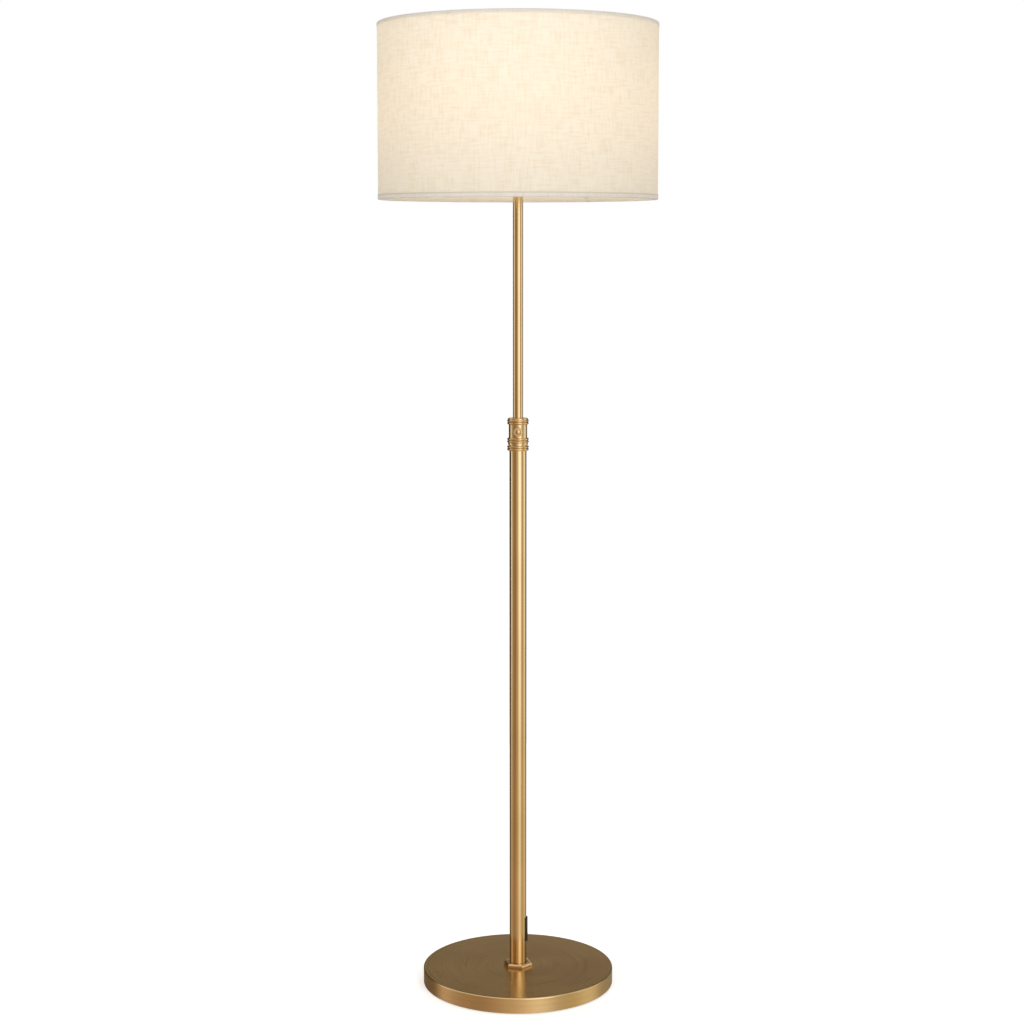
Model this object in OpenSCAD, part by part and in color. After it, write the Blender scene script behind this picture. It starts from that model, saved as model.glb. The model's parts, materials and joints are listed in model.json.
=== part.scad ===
// Telescopic floor lamp: a weighted round base, a two-piece brass pole with a lock collar,
// and a linen drum shade round a screw-cap bulb.
// Millimetres, +Z up. The origin is on the floor, on the axis of the pole. The thumbscrew faces -Y,
// the rocker switch +X and the cord inlet +Y.

/* [Base] */
// Diameter of the base cover
base_d = 305; // [240:1:360]
// Height of the base's top face above the floor
base_h = 25; // [22:0.5:40]
// Rounding of the cover's top edge
base_edge_r = 2; // [1.5:0.25:4]
// Sheet thickness of the base cover
cover_t = 1.2; // [0.8:0.1:1.5]
// Gap between the floor and the cover's lower edge
cover_lift = 1; // [0.5:0.25:1.5]
// Thickness of the foot pad
pad_t = 2.5; // [2:0.25:4]
// How far the foot pad's edge lies inside the cover's wall
pad_inset = 3; // [1:0.5:10]
// Thickness of the bottom plate
plate_t = 1.5; // [1:0.25:2.5]
// Gap between the cast weight and the cover's wall
weight_gap = 2.5; // [2:0.25:5]
// Depth of the ring-shaped pocket cast into the weight's underside
relief_depth = 6; // [2:0.5:8]
// Inner diameter of that pocket
relief_inner_d = 116; // [108:1:130]
// Outer diameter of that pocket
relief_outer_d = 230; // [150:1:235]

/* [Foot] */
// Across the flats of the hexagonal foot nut
foot_nut_af = 40.4; // [34:0.2:48]
// Height of the foot nut above the base
foot_nut_h = 6; // [5.5:0.5:16]
// Rounding of the foot nut's upper edges
foot_nut_r = 3.75; // [1:0.25:4]
// Rounding of the foot nut's lower edges
foot_nut_foot_r = 1; // [0.5:0.25:1.5]
// Width and depth of the groove round the tube in the foot nut's top
foot_nut_groove = 0.8; // [0.4:0.1:1.5]
// How far the foot nut is turned from facing -Y with a flat
foot_nut_turn = -14; // [-30:1:30]
// Thickness of the foot nut's floor, which the lower tube stands on
foot_nut_floor = 2; // [1.5:0.25:3]
// Diameter of the hollow threaded nipple that holds the pole to the base
nipple_d = 10; // [9:0.5:14]
// Bore of that nipple, which the lead passes through
nipple_bore = 7; // [5:0.5:7.5]
// Height of the threaded plug in the lower tube
plug_h = 20; // [12:1:40]
// Across the flats of the clamp nut under the weight
clamp_nut_af = 17; // [17:0.5:22]
// Thickness of the clamp nut
clamp_nut_h = 4.5; // [3:0.5:5]
// Diameter of the clamp washer
clamp_washer_d = 34; // [26:1:40]
// Thickness of the clamp washer
clamp_washer_t = 2; // [1.5:0.25:2.5]
// Diameter of the pocket round the clamp nut
pocket_d = 52; // [44:1:60]

/* [Bottom screws] */
// Diameter of the screws that hold the bottom plate
plate_screw_d = 4; // [3:0.5:5]
// Diameter of the circle that the bottom screws lie on
plate_screw_circle = 84; // [70:1:95]
// How far the bottom screws reach into the weight
plate_screw_l = 9; // [5:0.5:12]

/* [Cord inlet] */
// Bore of the cord inlet bushing
inlet_bore = 7.2; // [6:0.1:8]
// Diameter of the bushing where it passes through the cover
inlet_d = 11; // [10:0.5:13]
// Diameter of the bushing's outer flange
inlet_flange_d = 15; // [14:0.5:17]
// Thickness of the bushing's outer flange
inlet_flange_t = 1.8; // [1:0.2:3]
// Width of the channel that the cord lies in, under the weight
channel_w = 10; // [9:0.5:12]

/* [Pole] */
// Diameter of the lower tube
lower_tube_d = 27; // [25:0.5:29]
// Wall of the lower tube
lower_tube_t = 1.2; // [0.8:0.1:1.5]
// Diameter of the upper tube
upper_tube_d = 16; // [14:0.5:17]
// Wall of the upper tube
upper_tube_t = 1; // [0.8:0.1:1.5]
// Height of the lower collar ring's underside above the floor
collar_z = 862.5; // [700:0.5:1000]
// Length of upper tube that shows between the collar and the shade, as photographed
pole_out = 340.6; // [325:0.1:480]
// Further rise of the upper tube before its bush meets the collar
lift_up = 130; // [60:1:200]

/* [Collar] */
// Height of one turned bead
bead_h = 4; // [3:0.25:5]
// Diameter over the beads
bead_d = 34; // [32:0.5:40]
// Gap between the lower collar ring and the lock collar
ring_gap = 1.2; // [0.6:0.1:3]
// Height of the plain step under the lock collar's beads
step_h = 3; // [2:0.25:5]
// Diameter of that step, of the groove between two beads and of the collar's top
step_d = 31.4; // [30.5:0.1:32]
// Diameter of the lock collar's plain middle
collar_body_d = 29; // [27:0.5:30]
// Height of the lock collar's plain middle
collar_body_h = 21.1; // [16:0.1:30]
// Height of the flat top above the upper beads
collar_cap_h = 2.2; // [1:0.1:4]
// Depth of the lock collar's socket over the lower tube
collar_socket = 12; // [8:0.5:13]
// Height of the nylon guide bush in the top of the collar
guide_h = 9.5; // [6:0.5:11]
// Wall of the guide bush
guide_wall = 2; // [1.2:0.1:2.5]

/* [Thumbscrew] */
// Diameter of the screw's thread
screw_d = 5; // [4:0.5:6]
// Diameter of the screw's head
screw_head_d = 14.4; // [10:0.2:18]
// Thickness of the head's disc
screw_head_h = 5; // [3:0.5:8]
// Diameter of the neck behind the head
screw_neck_d = 8.4; // [7:0.2:10]
// Length of the neck
screw_neck_h = 2.4; // [1.5:0.1:4]
// Diameter of the domed boss on the head
screw_boss_d = 8.8; // [6:0.2:10]
// Height of the domed boss
screw_boss_h = 1.6; // [0.8:0.1:3]
// Gap between the neck and the collar, with the screw tight
screw_gap = 1.6; // [0.6:0.1:4]
// Thickness of the nylon pressure pad on the screw's tip
tip_t = 1.2; // [0.8:0.1:2]
// Diameter of the peg that holds the pad in the screw's tip
peg_d = 2; // [1.5:0.1:2.5]
// Length of that peg
peg_l = 2; // [1.5:0.1:3]

/* [Switch] */
// Height of the switch's centre above the floor
switch_z = 85.5; // [75:0.5:140]
// Length of the switch's frame
switch_l = 37.6; // [34:0.2:44]
// Width of the switch's frame
switch_w = 14.6; // [14:0.2:16]
// How far the switch's frame stands out from the lower tube
switch_out = 2; // [1.5:0.1:3]
// Width of the switch's body, in the slot of the lower tube
switch_body_w = 12; // [11:0.2:12.6]
// Length of the switch's body
switch_body_l = 30; // [28:0.2:32]
// Depth of the switch's body behind its face
switch_depth = 13; // [12:0.5:14]
// Width of the rocker
rocker_w = 8.2; // [6:0.2:8.4]
// Length of the rocker
rocker_l = 22; // [16:0.5:25]
// Angle of the rocker to either side of its middle
rocker_tilt = 6; // [3:0.5:8]
// Diameter of the rocker's pivot pins
rocker_pin_d = 2; // [1.5:0.1:2.4]

/* [Sliding bush] */
// Height of the bush that runs in the lower tube
bush_h = 24; // [15:1:40]
// Height of the ferrule on the upper tube's lower end
ferrule_h = 6; // [4:0.5:12]
// Height of the retaining ring above the bush
retainer_h = 1.6; // [1:0.1:3]

/* [Lead] */
// Diameter of the lead inside the pole
lead_d = 5.6; // [4.5:0.1:6]
// Outer diameter of the slack lead's curls in the lower tube
slack_d = 18; // [15:0.5:20]
// Diameter of one insulated wire
wire_d = 2; // [1.5:0.1:2.2]
// Height of the slack lead's foot above the switch's frame
slack_rise = 46; // [35:1:80]
// Length of straight lead between the wires' join and the slack
lead_join_l = 20; // [10:1:30]

/* [Lampholder] */
// Height of the lampholder's cap above the shade's lower edge
holder_rise = 31.4; // [25:0.2:60]
// Diameter of the lampholder's body
holder_d = 39; // [38:0.2:44]
// Wall of the lampholder's body
holder_wall = 1.6; // [1.2:0.1:2]
// Height of the lampholder's body
holder_h = 46; // [44:0.5:54]
// Diameter of the neck of the lampholder's cap
cap_neck_d = 20; // [20:0.5:24]
// Height of that neck
cap_neck_h = 10; // [8:0.5:16]
// Height of the flared part of the cap
cap_flare_h = 12; // [8:0.5:20]
// Wall of the cap
cap_wall = 1.2; // [0.8:0.1:1.5]
// How far the threaded coupler reaches down into the upper tube
coupler_grip = 18; // [10:1:30]
// Diameter of the shoulder that carries the shade's hub
shoulder_d = 46; // [45:0.5:50]
// Thickness of the shoulder
shoulder_t = 2.4; // [1.5:0.1:4]
// Height of the shoulder's underside above the foot of the body
shoulder_rise = 5; // [2:0.5:8]
// Outer diameter of the ring nut over the hub
ring_nut_d = 50; // [47:0.5:56]
// Height of the ring nut
ring_nut_h = 8; // [5:0.5:12]
// Thickness of the ceramic block in the lampholder
block_h = 8; // [6:0.5:11]

/* [Bulb] */
// Diameter of the bulb
bulb_d = 60; // [50:1:68]
// Length of the bulb, cap included
bulb_l = 108; // [100:1:122]
// Diameter of the bulb's screw cap
bulb_cap_d = 26.4; // [26:0.1:27]
// Height of the bulb's screw cap
bulb_cap_h = 24; // [20:0.5:26]
// Thickness of the bulb's glass
glass_t = 1; // [0.6:0.1:1.5]
// How far the glass stem ends below the bulb's widest place
stem_drop = 18; // [10:1:24]
// Number of light filaments
filaments = 4; // [2:1:6]
// Length of a filament
filament_l = 34; // [24:1:40]
// Diameter of a filament
filament_d = 1.8; // [1.2:0.1:2.4]

/* [Shade] */
// Diameter of the shade over its tapes
shade_d = 436; // [360:1:500]
// Height of the shade
shade_h = 269.4; // [200:0.2:320]
// Thickness of the linen
linen_t = 0.7; // [0.5:0.1:1.2]
// Thickness of the stiff liner behind the linen
liner_t = 0.9; // [0.6:0.1:1.5]
// Thickness of the tape round the shade's edges
tape_t = 0.5; // [0.3:0.05:0.8]
// Height of the tape round the top edge
top_tape_h = 5; // [4.5:0.5:12]
// Height of the tape round the bottom edge
bottom_tape_h = 7.6; // [4.5:0.1:14]
// Wire diameter of the two shade rings
ring_wire_d = 3.4; // [2.4:0.1:4]
// Wire diameter of the spider's arms
arm_d = 4; // [3:0.1:5]
// Number of spider arms
arms = 3; // [3:1:5]
// Direction of the first arm, anticlockwise from +X
first_arm_angle = 57; // [0:1:119]
// Outer diameter of the spider's hub
hub_d = 56; // [54:0.5:64]
// Thickness of the spider's hub
hub_t = 2; // [1.5:0.1:3]

/* [Hidden] */
$fn = 96;

// Clearances: a seated or pressed fit, a running fit, and the gap between parts that move freely.
seat = 0.02;
running = 0.05;
free = 0.3;
// How much thicker the ball in a rod's bend is than the rod.
bend_swell = 0.2;

// Base, from the floor up
plate_z = pad_t;
weight_z = pad_t + plate_t;
weight_top = base_h - cover_t;
cover_inner_r = base_d / 2 - cover_t;
weight_r = cover_inner_r - weight_gap;
inlet_z = (weight_z + weight_top) / 2;
inlet_lip_t = weight_gap - free;
channel_top = inlet_z + channel_w / 2;

// Foot: the clamp nut, washer and nipple hang in the weight's pocket, clear of the plate under them,
// and the nipple ends a little below the top of the tube plug
nut_lift = 2.5;
nipple_lift = 1;
nipple_short = 2;
clamp_nut_z = weight_z + nut_lift;
clamp_washer_z = clamp_nut_z + clamp_nut_h;
pocket_top = clamp_washer_z + clamp_washer_t;
nipple_z = weight_z + nipple_lift;
tube_z = base_h + foot_nut_floor;
nipple_top = tube_z + plug_h - nipple_short;

// Pole
lower_inner_r = lower_tube_d / 2 - lower_tube_t;
upper_r = upper_tube_d / 2;
upper_inner_r = upper_r - upper_tube_t;
ring_h = 2 * bead_h;
lock_z = collar_z + ring_h + ring_gap;
tube_end = lock_z + collar_socket;
lower_beads_z = lock_z + step_h;
collar_body_z = lower_beads_z + ring_h;
upper_beads_z = collar_body_z + collar_body_h;
collar_top = upper_beads_z + ring_h + collar_cap_h;
guide_z = collar_top - guide_h;
guide_d = upper_tube_d + 2 * (running + guide_wall);
screw_z = collar_body_z + collar_body_h / 2;

// Sliding bush: the retaining ring meets the collar when the pole is all the way up
retainer_z = tube_end - free - lift_up - retainer_h;
bush_z = retainer_z - free - bush_h;
upper_z = bush_z - free - ferrule_h;
bush_d = 2 * (lower_inner_r - running);

// Thumbscrew, measured out from the axis of the pole
tip_y = upper_r + free;
screw_tip_y = tip_y + tip_t + running;
neck_y = collar_body_d / 2 + screw_gap;
head_y = neck_y + screw_neck_h;
boss_y = head_y + screw_head_h;

// Switch, measured out from the axis of the pole: the rocker's pins lie behind the frame's face
switch_face = lower_tube_d / 2 + switch_out;
rocker_inset = 3.9;
rocker_end_gap = 0.7;
rocker_axis = switch_face - rocker_inset;
rocker_pocket_w = rocker_w + 2 * free;
rocker_pocket_l = rocker_l + 2 * rocker_end_gap;
rocker_depth = 2.8;
switch_back = switch_face - switch_depth;
terminal_z = 7;
terminal_w = 4.8;
terminal_t = 0.8;
terminal_l = 4;

// Lead inside the pole: the slack ends a little below the upper tube
slack_drop = 9;
slack_z = switch_z + switch_l / 2 + slack_rise;
slack_top = upper_z - slack_drop;

// Shade
shade_z = collar_top + pole_out;
shade_top = shade_z + shade_h;
linen_r = shade_d / 2 - tape_t;
liner_r = linen_r - linen_t;
liner_inner_r = liner_r - liner_t;
ring_r = liner_inner_r - ring_wire_d / 2 - running;
lower_ring_z = shade_z + tape_t + ring_wire_d / 2 + running;
upper_ring_z = shade_top - tape_t - ring_wire_d / 2 - running;

// Lampholder, from the cap up: the upper tube ends inside the cap's neck, and the coupler stands
// out of the tube, through the cap's floor and the locknut
tube_short = 3;
coupler_out = 8;
cap_floor_t = 4;
locknut_h = 3;
block_rise = 6;
cap_z = shade_z + holder_rise;
upper_top = cap_z + cap_neck_h - tube_short;
body_z = cap_z + cap_neck_h + cap_flare_h;
shoulder_z = body_z + shoulder_rise;
hub_z = shoulder_z + shoulder_t;
ring_nut_z = hub_z + hub_t;
holder_inner_r = holder_d / 2 - holder_wall;
block_z = body_z + block_rise;
block_top = block_z + block_h;
coupler_top = upper_top + coupler_out;
cap_floor_z = upper_top + cap_floor_t;
arm_z = hub_z + hub_t / 2;

// Bulb, from its tip contact up: the glass is cemented into the top of the cap
contact_h = 5;
bulb_tip_h = 1.2;
insulator_h = 4;
glass_seat_h = 4;
socket_play = 0.5;
socket_t = 0.6;
bulb_z = block_top + contact_h;
insulator_z = bulb_z + bulb_tip_h;
bulb_cap_z = insulator_z + insulator_h;
glass_z = bulb_cap_z + bulb_cap_h - glass_seat_h;
bulb_centre = bulb_z + bulb_l - bulb_d / 2;
socket_d = bulb_cap_d + 2 * socket_play;
stem_top = bulb_centre - stem_drop;
filament_r = 6;
filament_lean = 9;
filament_z = stem_top + 4;

// A straight round rod between two points
module rod(a, b, d) {
    v = b - a;
    length = norm(v);
    translate(a) rotate([0, acos(v.z / length), atan2(v.y, v.x)]) cylinder(h = length, d = d, $fn = 32);
}

// A round rod along a list of points, with a ball, a little thicker than the rod, at each bend
module bent_rod(points, d) {
    for (i = [1 : len(points) - 1]) rod(points[i - 1], points[i], d);
    for (i = [1 : len(points) - 2]) translate(points[i]) sphere(d = d + bend_swell, $fn = 32);
}

// A ring of rectangular section, standing on height z
module hoop(outer_r, inner_r, z, h) {
    translate([0, 0, z]) difference() {
        cylinder(h = h, r = outer_r);
        translate([0, 0, -1]) cylinder(h = h + 2, r = inner_r);
    }
}

// The half section of a disc with a rounded upper edge and, if asked for, a rounded lower edge
module rounded_half(r, h, edge, foot = 0) {
    square([r - edge, h]);
    square([r - foot, h - edge]);
    translate([0, foot]) square([r, h - edge - foot]);
    translate([r - edge, h - edge]) circle(r = edge);
    if (foot > 0) translate([r - foot, foot]) circle(r = foot);
}

// The half section of two turned beads, one above the other
module two_beads() {
    square([step_d / 2, ring_h]);
    for (i = [0, 1]) translate([bead_d / 2 - bead_h / 2, (i + 0.5) * bead_h]) circle(d = bead_h);
    square([(bead_d - bead_h) / 2, ring_h]);
}

// A hexagonal nut standing on height z
module hex_nut(af, h, bore, z) {
    translate([0, 0, z]) difference() {
        cylinder(h = h, d = af / cos(30), $fn = 6);
        translate([0, 0, -1]) cylinder(h = h + 2, d = bore);
    }
}

// Foot pad: the foam disc that the lamp stands on
module base_pad() {
    color("#2b2a28") cylinder(h = pad_t, r = cover_inner_r - pad_inset);
}

// Where the bottom screws lie
module at_plate_screws() {
    for (i = [0 : 2]) rotate(i * 120 + 30) translate([plate_screw_circle / 2, 0, plate_z]) children();
}

// A countersunk bottom screw, or its hole when grown by a clearance
module plate_screw(gap = 0) {
    cylinder(h = plate_t, d1 = plate_screw_d + 2 * plate_t + 2 * gap, d2 = plate_screw_d + 2 * gap);
    cylinder(h = plate_t + plate_screw_l + gap, d = plate_screw_d + 2 * gap);
}

// Bottom plate: closes the base below the weight
module bottom_plate() {
    color("#8a8d90") difference() {
        translate([0, 0, plate_z]) cylinder(h = plate_t, r = cover_inner_r - free);
        at_plate_screws() plate_screw(running);
    }
}

// Plate screws: three countersunk screws into the weight
module plate_screws() {
    color("#b9bcc0") at_plate_screws() plate_screw();
}

// Base weight: cast iron disc with pockets for the clamp nut and the cord
module base_weight() {
    color("#4a4744") difference() {
        translate([0, 0, weight_z]) {
            cylinder(h = weight_top - weight_z - base_edge_r, r = weight_r);
            cylinder(h = weight_top - weight_z, r = weight_r - base_edge_r);
        }
        translate([0, 0, weight_z - 1]) cylinder(h = weight_top, d = nipple_d + 4 * running);
        translate([0, 0, weight_z - 1]) cylinder(h = pocket_top - weight_z + 1, d = pocket_d);
        hoop(relief_outer_d / 2, relief_inner_d / 2, weight_z - 1, relief_depth + 1);
        translate([-channel_w / 2, pocket_d / 2 - 4, weight_z - 1])
            cube([channel_w, base_d / 2, channel_top - weight_z + 1]);
        at_plate_screws() cylinder(h = plate_t + plate_screw_l + 1, d = plate_screw_d + 2 * running);
    }
}

// Base cover: spun brass-plated shell over the weight
module base_cover() {
    color("#a98c5c") difference() {
        rotate_extrude($fn = 128) difference() {
            translate([0, cover_lift]) rounded_half(base_d / 2, base_h - cover_lift, base_edge_r);
            translate([0, cover_lift - 1])
                rounded_half(cover_inner_r, base_h - cover_t - cover_lift + 1, base_edge_r - cover_t);
        }
        cylinder(h = base_h + 1, d = nipple_d + 4 * running);
        translate([0, base_d / 2 + 1, inlet_z]) rotate([90, 0, 0])
            cylinder(h = weight_gap + cover_t + 1, d = inlet_d + 2 * seat);
    }
}

// Cord bushing: the inlet that the supply cord passes through
module cord_bushing() {
    outer_y = base_d / 2 + inlet_flange_t;
    color("#1c1b1a") translate([0, outer_y, inlet_z]) rotate([90, 0, 0]) difference() {
        union() {
            cylinder(h = inlet_flange_t, d1 = inlet_flange_d - 1.6, d2 = inlet_flange_d);
            cylinder(h = inlet_flange_t + cover_t + inlet_lip_t, d = inlet_d);
        }
        translate([0, 0, -1]) cylinder(h = inlet_flange_t + cover_t + inlet_lip_t + 2, d = inlet_bore);
    }
}

// Clamp nut: draws the weight, the cover and the foot nut together
module clamp_nut() {
    color("#b9bcc0") hex_nut(clamp_nut_af, clamp_nut_h, nipple_d + 2 * seat, clamp_nut_z);
}

// Clamp washer: spreads the clamp nut's load on the weight
module clamp_washer() {
    color("#b9bcc0") hoop(clamp_washer_d / 2, nipple_d / 2 + running, clamp_washer_z, clamp_washer_t);
}

// Foot nipple: hollow threaded rod from the clamp nut up into the tube plug
module foot_nipple() {
    color("#c9ccd0") hoop(nipple_d / 2, nipple_bore / 2, nipple_z, nipple_top - nipple_z);
}

// Foot nut: hexagonal nut with rounded edges, and a seat for the lower tube
module foot_nut() {
    color("#b08d57") translate([0, 0, base_h]) difference() {
        rotate(foot_nut_turn) intersection_for(i = [0 : 2]) rotate([90, 0, 90 + i * 60])
            linear_extrude(2 * foot_nut_af, center = true) for (side = [0, 1]) mirror([side, 0])
                rounded_half(foot_nut_af / 2, foot_nut_h, foot_nut_r, foot_nut_foot_r);
        translate([0, 0, -1]) cylinder(h = foot_nut_h, d = nipple_d + 4 * running);
        translate([0, 0, foot_nut_floor]) cylinder(h = foot_nut_h, d = lower_tube_d + 2 * seat);
        translate([0, 0, foot_nut_h - foot_nut_groove])
            cylinder(h = foot_nut_h, d = lower_tube_d + 2 * foot_nut_groove);
    }
}

// Tube plug: threaded plug fixed in the foot of the lower tube
module tube_plug() {
    color("#c9ccd0") hoop(lower_inner_r - seat, nipple_d / 2 + seat, tube_z, plug_h);
}

// Lower tube: the fixed half of the pole, slotted for the switch
module lower_tube() {
    slot_w = switch_body_w + 2 * running;
    slot_l = switch_body_l + 2 * running;
    color("#b8935a") difference() {
        hoop(lower_tube_d / 2, lower_inner_r, tube_z, tube_end - tube_z);
        translate([0, -slot_w / 2, switch_z - slot_l / 2]) cube([lower_tube_d, slot_w, slot_l]);
    }
}

// Switch housing: frame saddled on the tube, and the body that passes through the slot
module switch_housing() {
    pocket_floor = rocker_axis - rocker_depth - free;
    color("#1f1c1a") difference() {
        union() {
            difference() {
                translate([0, -switch_w / 2, switch_z - switch_l / 2])
                    cube([switch_face, switch_w, switch_l]);
                translate([0, 0, switch_z - switch_l])
                    cylinder(h = 2 * switch_l, d = lower_tube_d + 2 * seat);
            }
            translate([switch_back, -switch_body_w / 2, switch_z - switch_body_l / 2])
                cube([switch_depth, switch_body_w, switch_body_l]);
        }
        translate([pocket_floor, -rocker_pocket_w / 2, switch_z - rocker_pocket_l / 2])
            cube([switch_depth, rocker_pocket_w, rocker_pocket_l]);
        translate([rocker_axis, 0, switch_z]) rotate([90, 0, 0])
            cylinder(h = rocker_w + 2.6, d = rocker_pin_d + 2 * running, center = true);
        for (s = [-1, 1]) terminal_blade(s, running);
    }
}

// One terminal blade of the switch, above or below its centre
module terminal_blade(side, gap = 0) {
    translate([switch_back - terminal_l, 0, switch_z + side * terminal_z])
        translate([0, -terminal_w / 2 - gap, -terminal_t / 2 - gap])
            cube([terminal_l + 2, terminal_w + 2 * gap, terminal_t + 2 * gap]);
}

// Switch terminals: two flat blades behind the switch
module switch_terminals() {
    color("#c8a24e") for (s = [-1, 1]) terminal_blade(s);
}

// Switch rocker: tilts about its two pins, here with its upper end pressed in
module switch_rocker() {
    half = rocker_l / 2;
    color("#141312") translate([rocker_axis, 0, switch_z]) rotate([0, -rocker_tilt, 0]) {
        rotate([90, 0, 0]) linear_extrude(rocker_w, center = true)
            polygon([[-rocker_depth, -2], [-rocker_depth, 2], [0.4, half - 0.6], [3.2, half - 0.2],
                [3.4, half - 0.8], [2.7, 0], [3.4, -half + 0.8], [3.2, -half + 0.2], [0.4, -half + 0.6]]);
        rotate([90, 0, 0]) cylinder(h = rocker_w + 2, d = rocker_pin_d, center = true);
    }
}

// Lower lead: the two wires from the switch join into the lead up the pole
module lower_lead() {
    join_z = slack_z - lead_join_l;
    wire_x = switch_back - terminal_l + 1;
    color("#3a3836") {
        translate([0, 0, join_z]) cylinder(h = slack_z - join_z, d = lead_d);
        for (s = [-1, 1])
            bent_rod([[wire_x, 0, switch_z + s * terminal_z + s * (terminal_t / 2 + wire_d / 2 + seat)],
                [wire_x - 4, 2 * s, switch_z + s * terminal_z + s * 3],
                [wire_x - 4.5, 2 * s, switch_z + switch_l / 2],
                [0.4, 0.6 * wire_d * s, join_z - 4],
                [0, 0.6 * wire_d * s, join_z + 1]], wire_d);
    }
}

// Slack lead: the curled lead that pays out as the pole rises, as the space its curls fill
module slack_lead() {
    color("#2d2b2a") hoop(slack_d / 2, slack_d / 2 - lead_d, slack_z, slack_top - slack_z);
}

// Lower collar ring: two turned beads round the lower tube
module lower_collar_ring() {
    color("#b8935a") translate([0, 0, collar_z]) difference() {
        rotate_extrude() two_beads();
        translate([0, 0, -1]) cylinder(h = ring_h + 2, d = lower_tube_d + 2 * seat);
    }
}

// Lock collar: fixed on the lower tube, it guides the upper tube and holds the thumbscrew
module lock_collar() {
    top_h = collar_top - tube_end;
    color("#b8935a") difference() {
        rotate_extrude() {
            translate([0, lock_z]) square([step_d / 2, step_h]);
            translate([0, lower_beads_z]) two_beads();
            translate([0, collar_body_z]) square([collar_body_d / 2, collar_body_h]);
            translate([0, upper_beads_z]) two_beads();
            translate([0, upper_beads_z + ring_h]) rounded_half(step_d / 2, collar_cap_h, collar_cap_h / 2);
        }
        translate([0, 0, lock_z - 1]) cylinder(h = collar_socket + 1, d = lower_tube_d + 2 * seat);
        translate([0, 0, tube_end - 1]) cylinder(h = top_h + 2, r = upper_r + free);
        translate([0, 0, guide_z]) cylinder(h = guide_h + 1, d = guide_d + 2 * seat);
        translate([0, 0, screw_z]) rotate([90, 0, 0])
            cylinder(h = collar_body_d, d = screw_d + 2 * running);
    }
}

// Guide bush: nylon sleeve that the upper tube runs in
module guide_bush() {
    color("#dcd8cc") hoop(guide_d / 2, upper_r + running, guide_z, guide_h - 0.4);
}

// Pressure pad: nylon tip that the thumbscrew pushes on the upper tube
module pressure_pad() {
    color("#e4e0d4") translate([0, 0, screw_z]) rotate([90, 0, 0]) {
        translate([0, 0, tip_y]) cylinder(h = tip_t, d = screw_d - 2 * running);
        translate([0, 0, tip_y]) cylinder(h = tip_t + running + peg_l, d = peg_d);
    }
}

// Thumbscrew: thread, neck, round head and domed boss
module thumbscrew() {
    edge = 0.8;
    boss_r = ((screw_boss_d / 2) ^ 2 + screw_boss_h ^ 2) / (2 * screw_boss_h);
    color("#b08d57") translate([0, 0, screw_z]) rotate([90, 0, 0]) difference() {
        union() {
            translate([0, 0, screw_tip_y]) cylinder(h = neck_y - screw_tip_y, d = screw_d);
            translate([0, 0, neck_y]) cylinder(h = screw_neck_h, d = screw_neck_d);
            translate([0, 0, head_y]) cylinder(h = edge, d1 = screw_head_d - 2 * edge, d2 = screw_head_d);
            translate([0, 0, head_y + edge]) cylinder(h = screw_head_h - 2 * edge, d = screw_head_d);
            translate([0, 0, boss_y - edge])
                cylinder(h = edge, d1 = screw_head_d, d2 = screw_head_d - 2 * edge);
            intersection() {
                translate([0, 0, boss_y + screw_boss_h - boss_r]) sphere(r = boss_r);
                translate([0, 0, head_y + edge]) cylinder(h = screw_head_h + screw_boss_h, d = screw_boss_d);
            }
        }
        translate([0, 0, screw_tip_y - 1]) cylinder(h = peg_l + 1 + 2 * running, d = peg_d + 2 * running);
    }
}

// Stop bush: nylon sleeve that runs in the lower tube and centres the upper tube's lower end
module stop_bush() {
    color("#dcd8cc") hoop(bush_d / 2, upper_r + running, bush_z, bush_h);
}

// End ferrule: pressed on the upper tube's lower end, it carries the stop bush
module end_ferrule() {
    color("#b08d57") hoop((bush_d / 2 + upper_r) / 2, upper_r + seat, upper_z, ferrule_h);
}

// Retaining ring: keeps the stop bush on the upper tube
module retaining_ring() {
    color("#c9ccd0") hoop((bush_d / 2 + upper_r) / 2, upper_r + seat, retainer_z, retainer_h);
}

// Upper tube: the sliding half of the pole
module upper_tube() {
    color("#b8935a") hoop(upper_r, upper_inner_r, upper_z, upper_top - upper_z);
}

// Upper lead: runs through the upper tube to the lampholder's contacts
module upper_lead() {
    split_z = coupler_top + 2 * wire_d;
    color("#3a3836") {
        translate([0, 0, slack_top + wire_d / 2]) cylinder(h = split_z - slack_top - wire_d / 2, d = lead_d);
        for (s = [-1, 1])
            bent_rod([[s * wire_d * 0.6, 0, split_z - 2 * wire_d],
                [s * wire_d * 1.5, s * wire_d * 0.35, split_z + wire_d],
                [s * holder_screw_x(), 0, block_z - holder_screw_drop() - wire_d * 0.6]], wire_d);
    }
}

// The contact screws' thread, distance from the axis, and how far they stand out below the block
function holder_screw_d() = 3;
function holder_screw_x() = 9;
function holder_screw_drop() = 2;

// Tube coupler: hollow threaded nipple that joins the upper tube to the lampholder's cap
module tube_coupler() {
    color("#c9ccd0") hoop(upper_inner_r - seat, upper_inner_r - 2.2, upper_top - coupler_grip,
        coupler_top - upper_top + coupler_grip);
}

// Coupler locknut: clamps the cap on the coupler
module coupler_locknut() {
    color("#b9bcc0") hex_nut(2 * upper_inner_r + 3, locknut_h, 2 * upper_inner_r, cap_floor_z);
}

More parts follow.
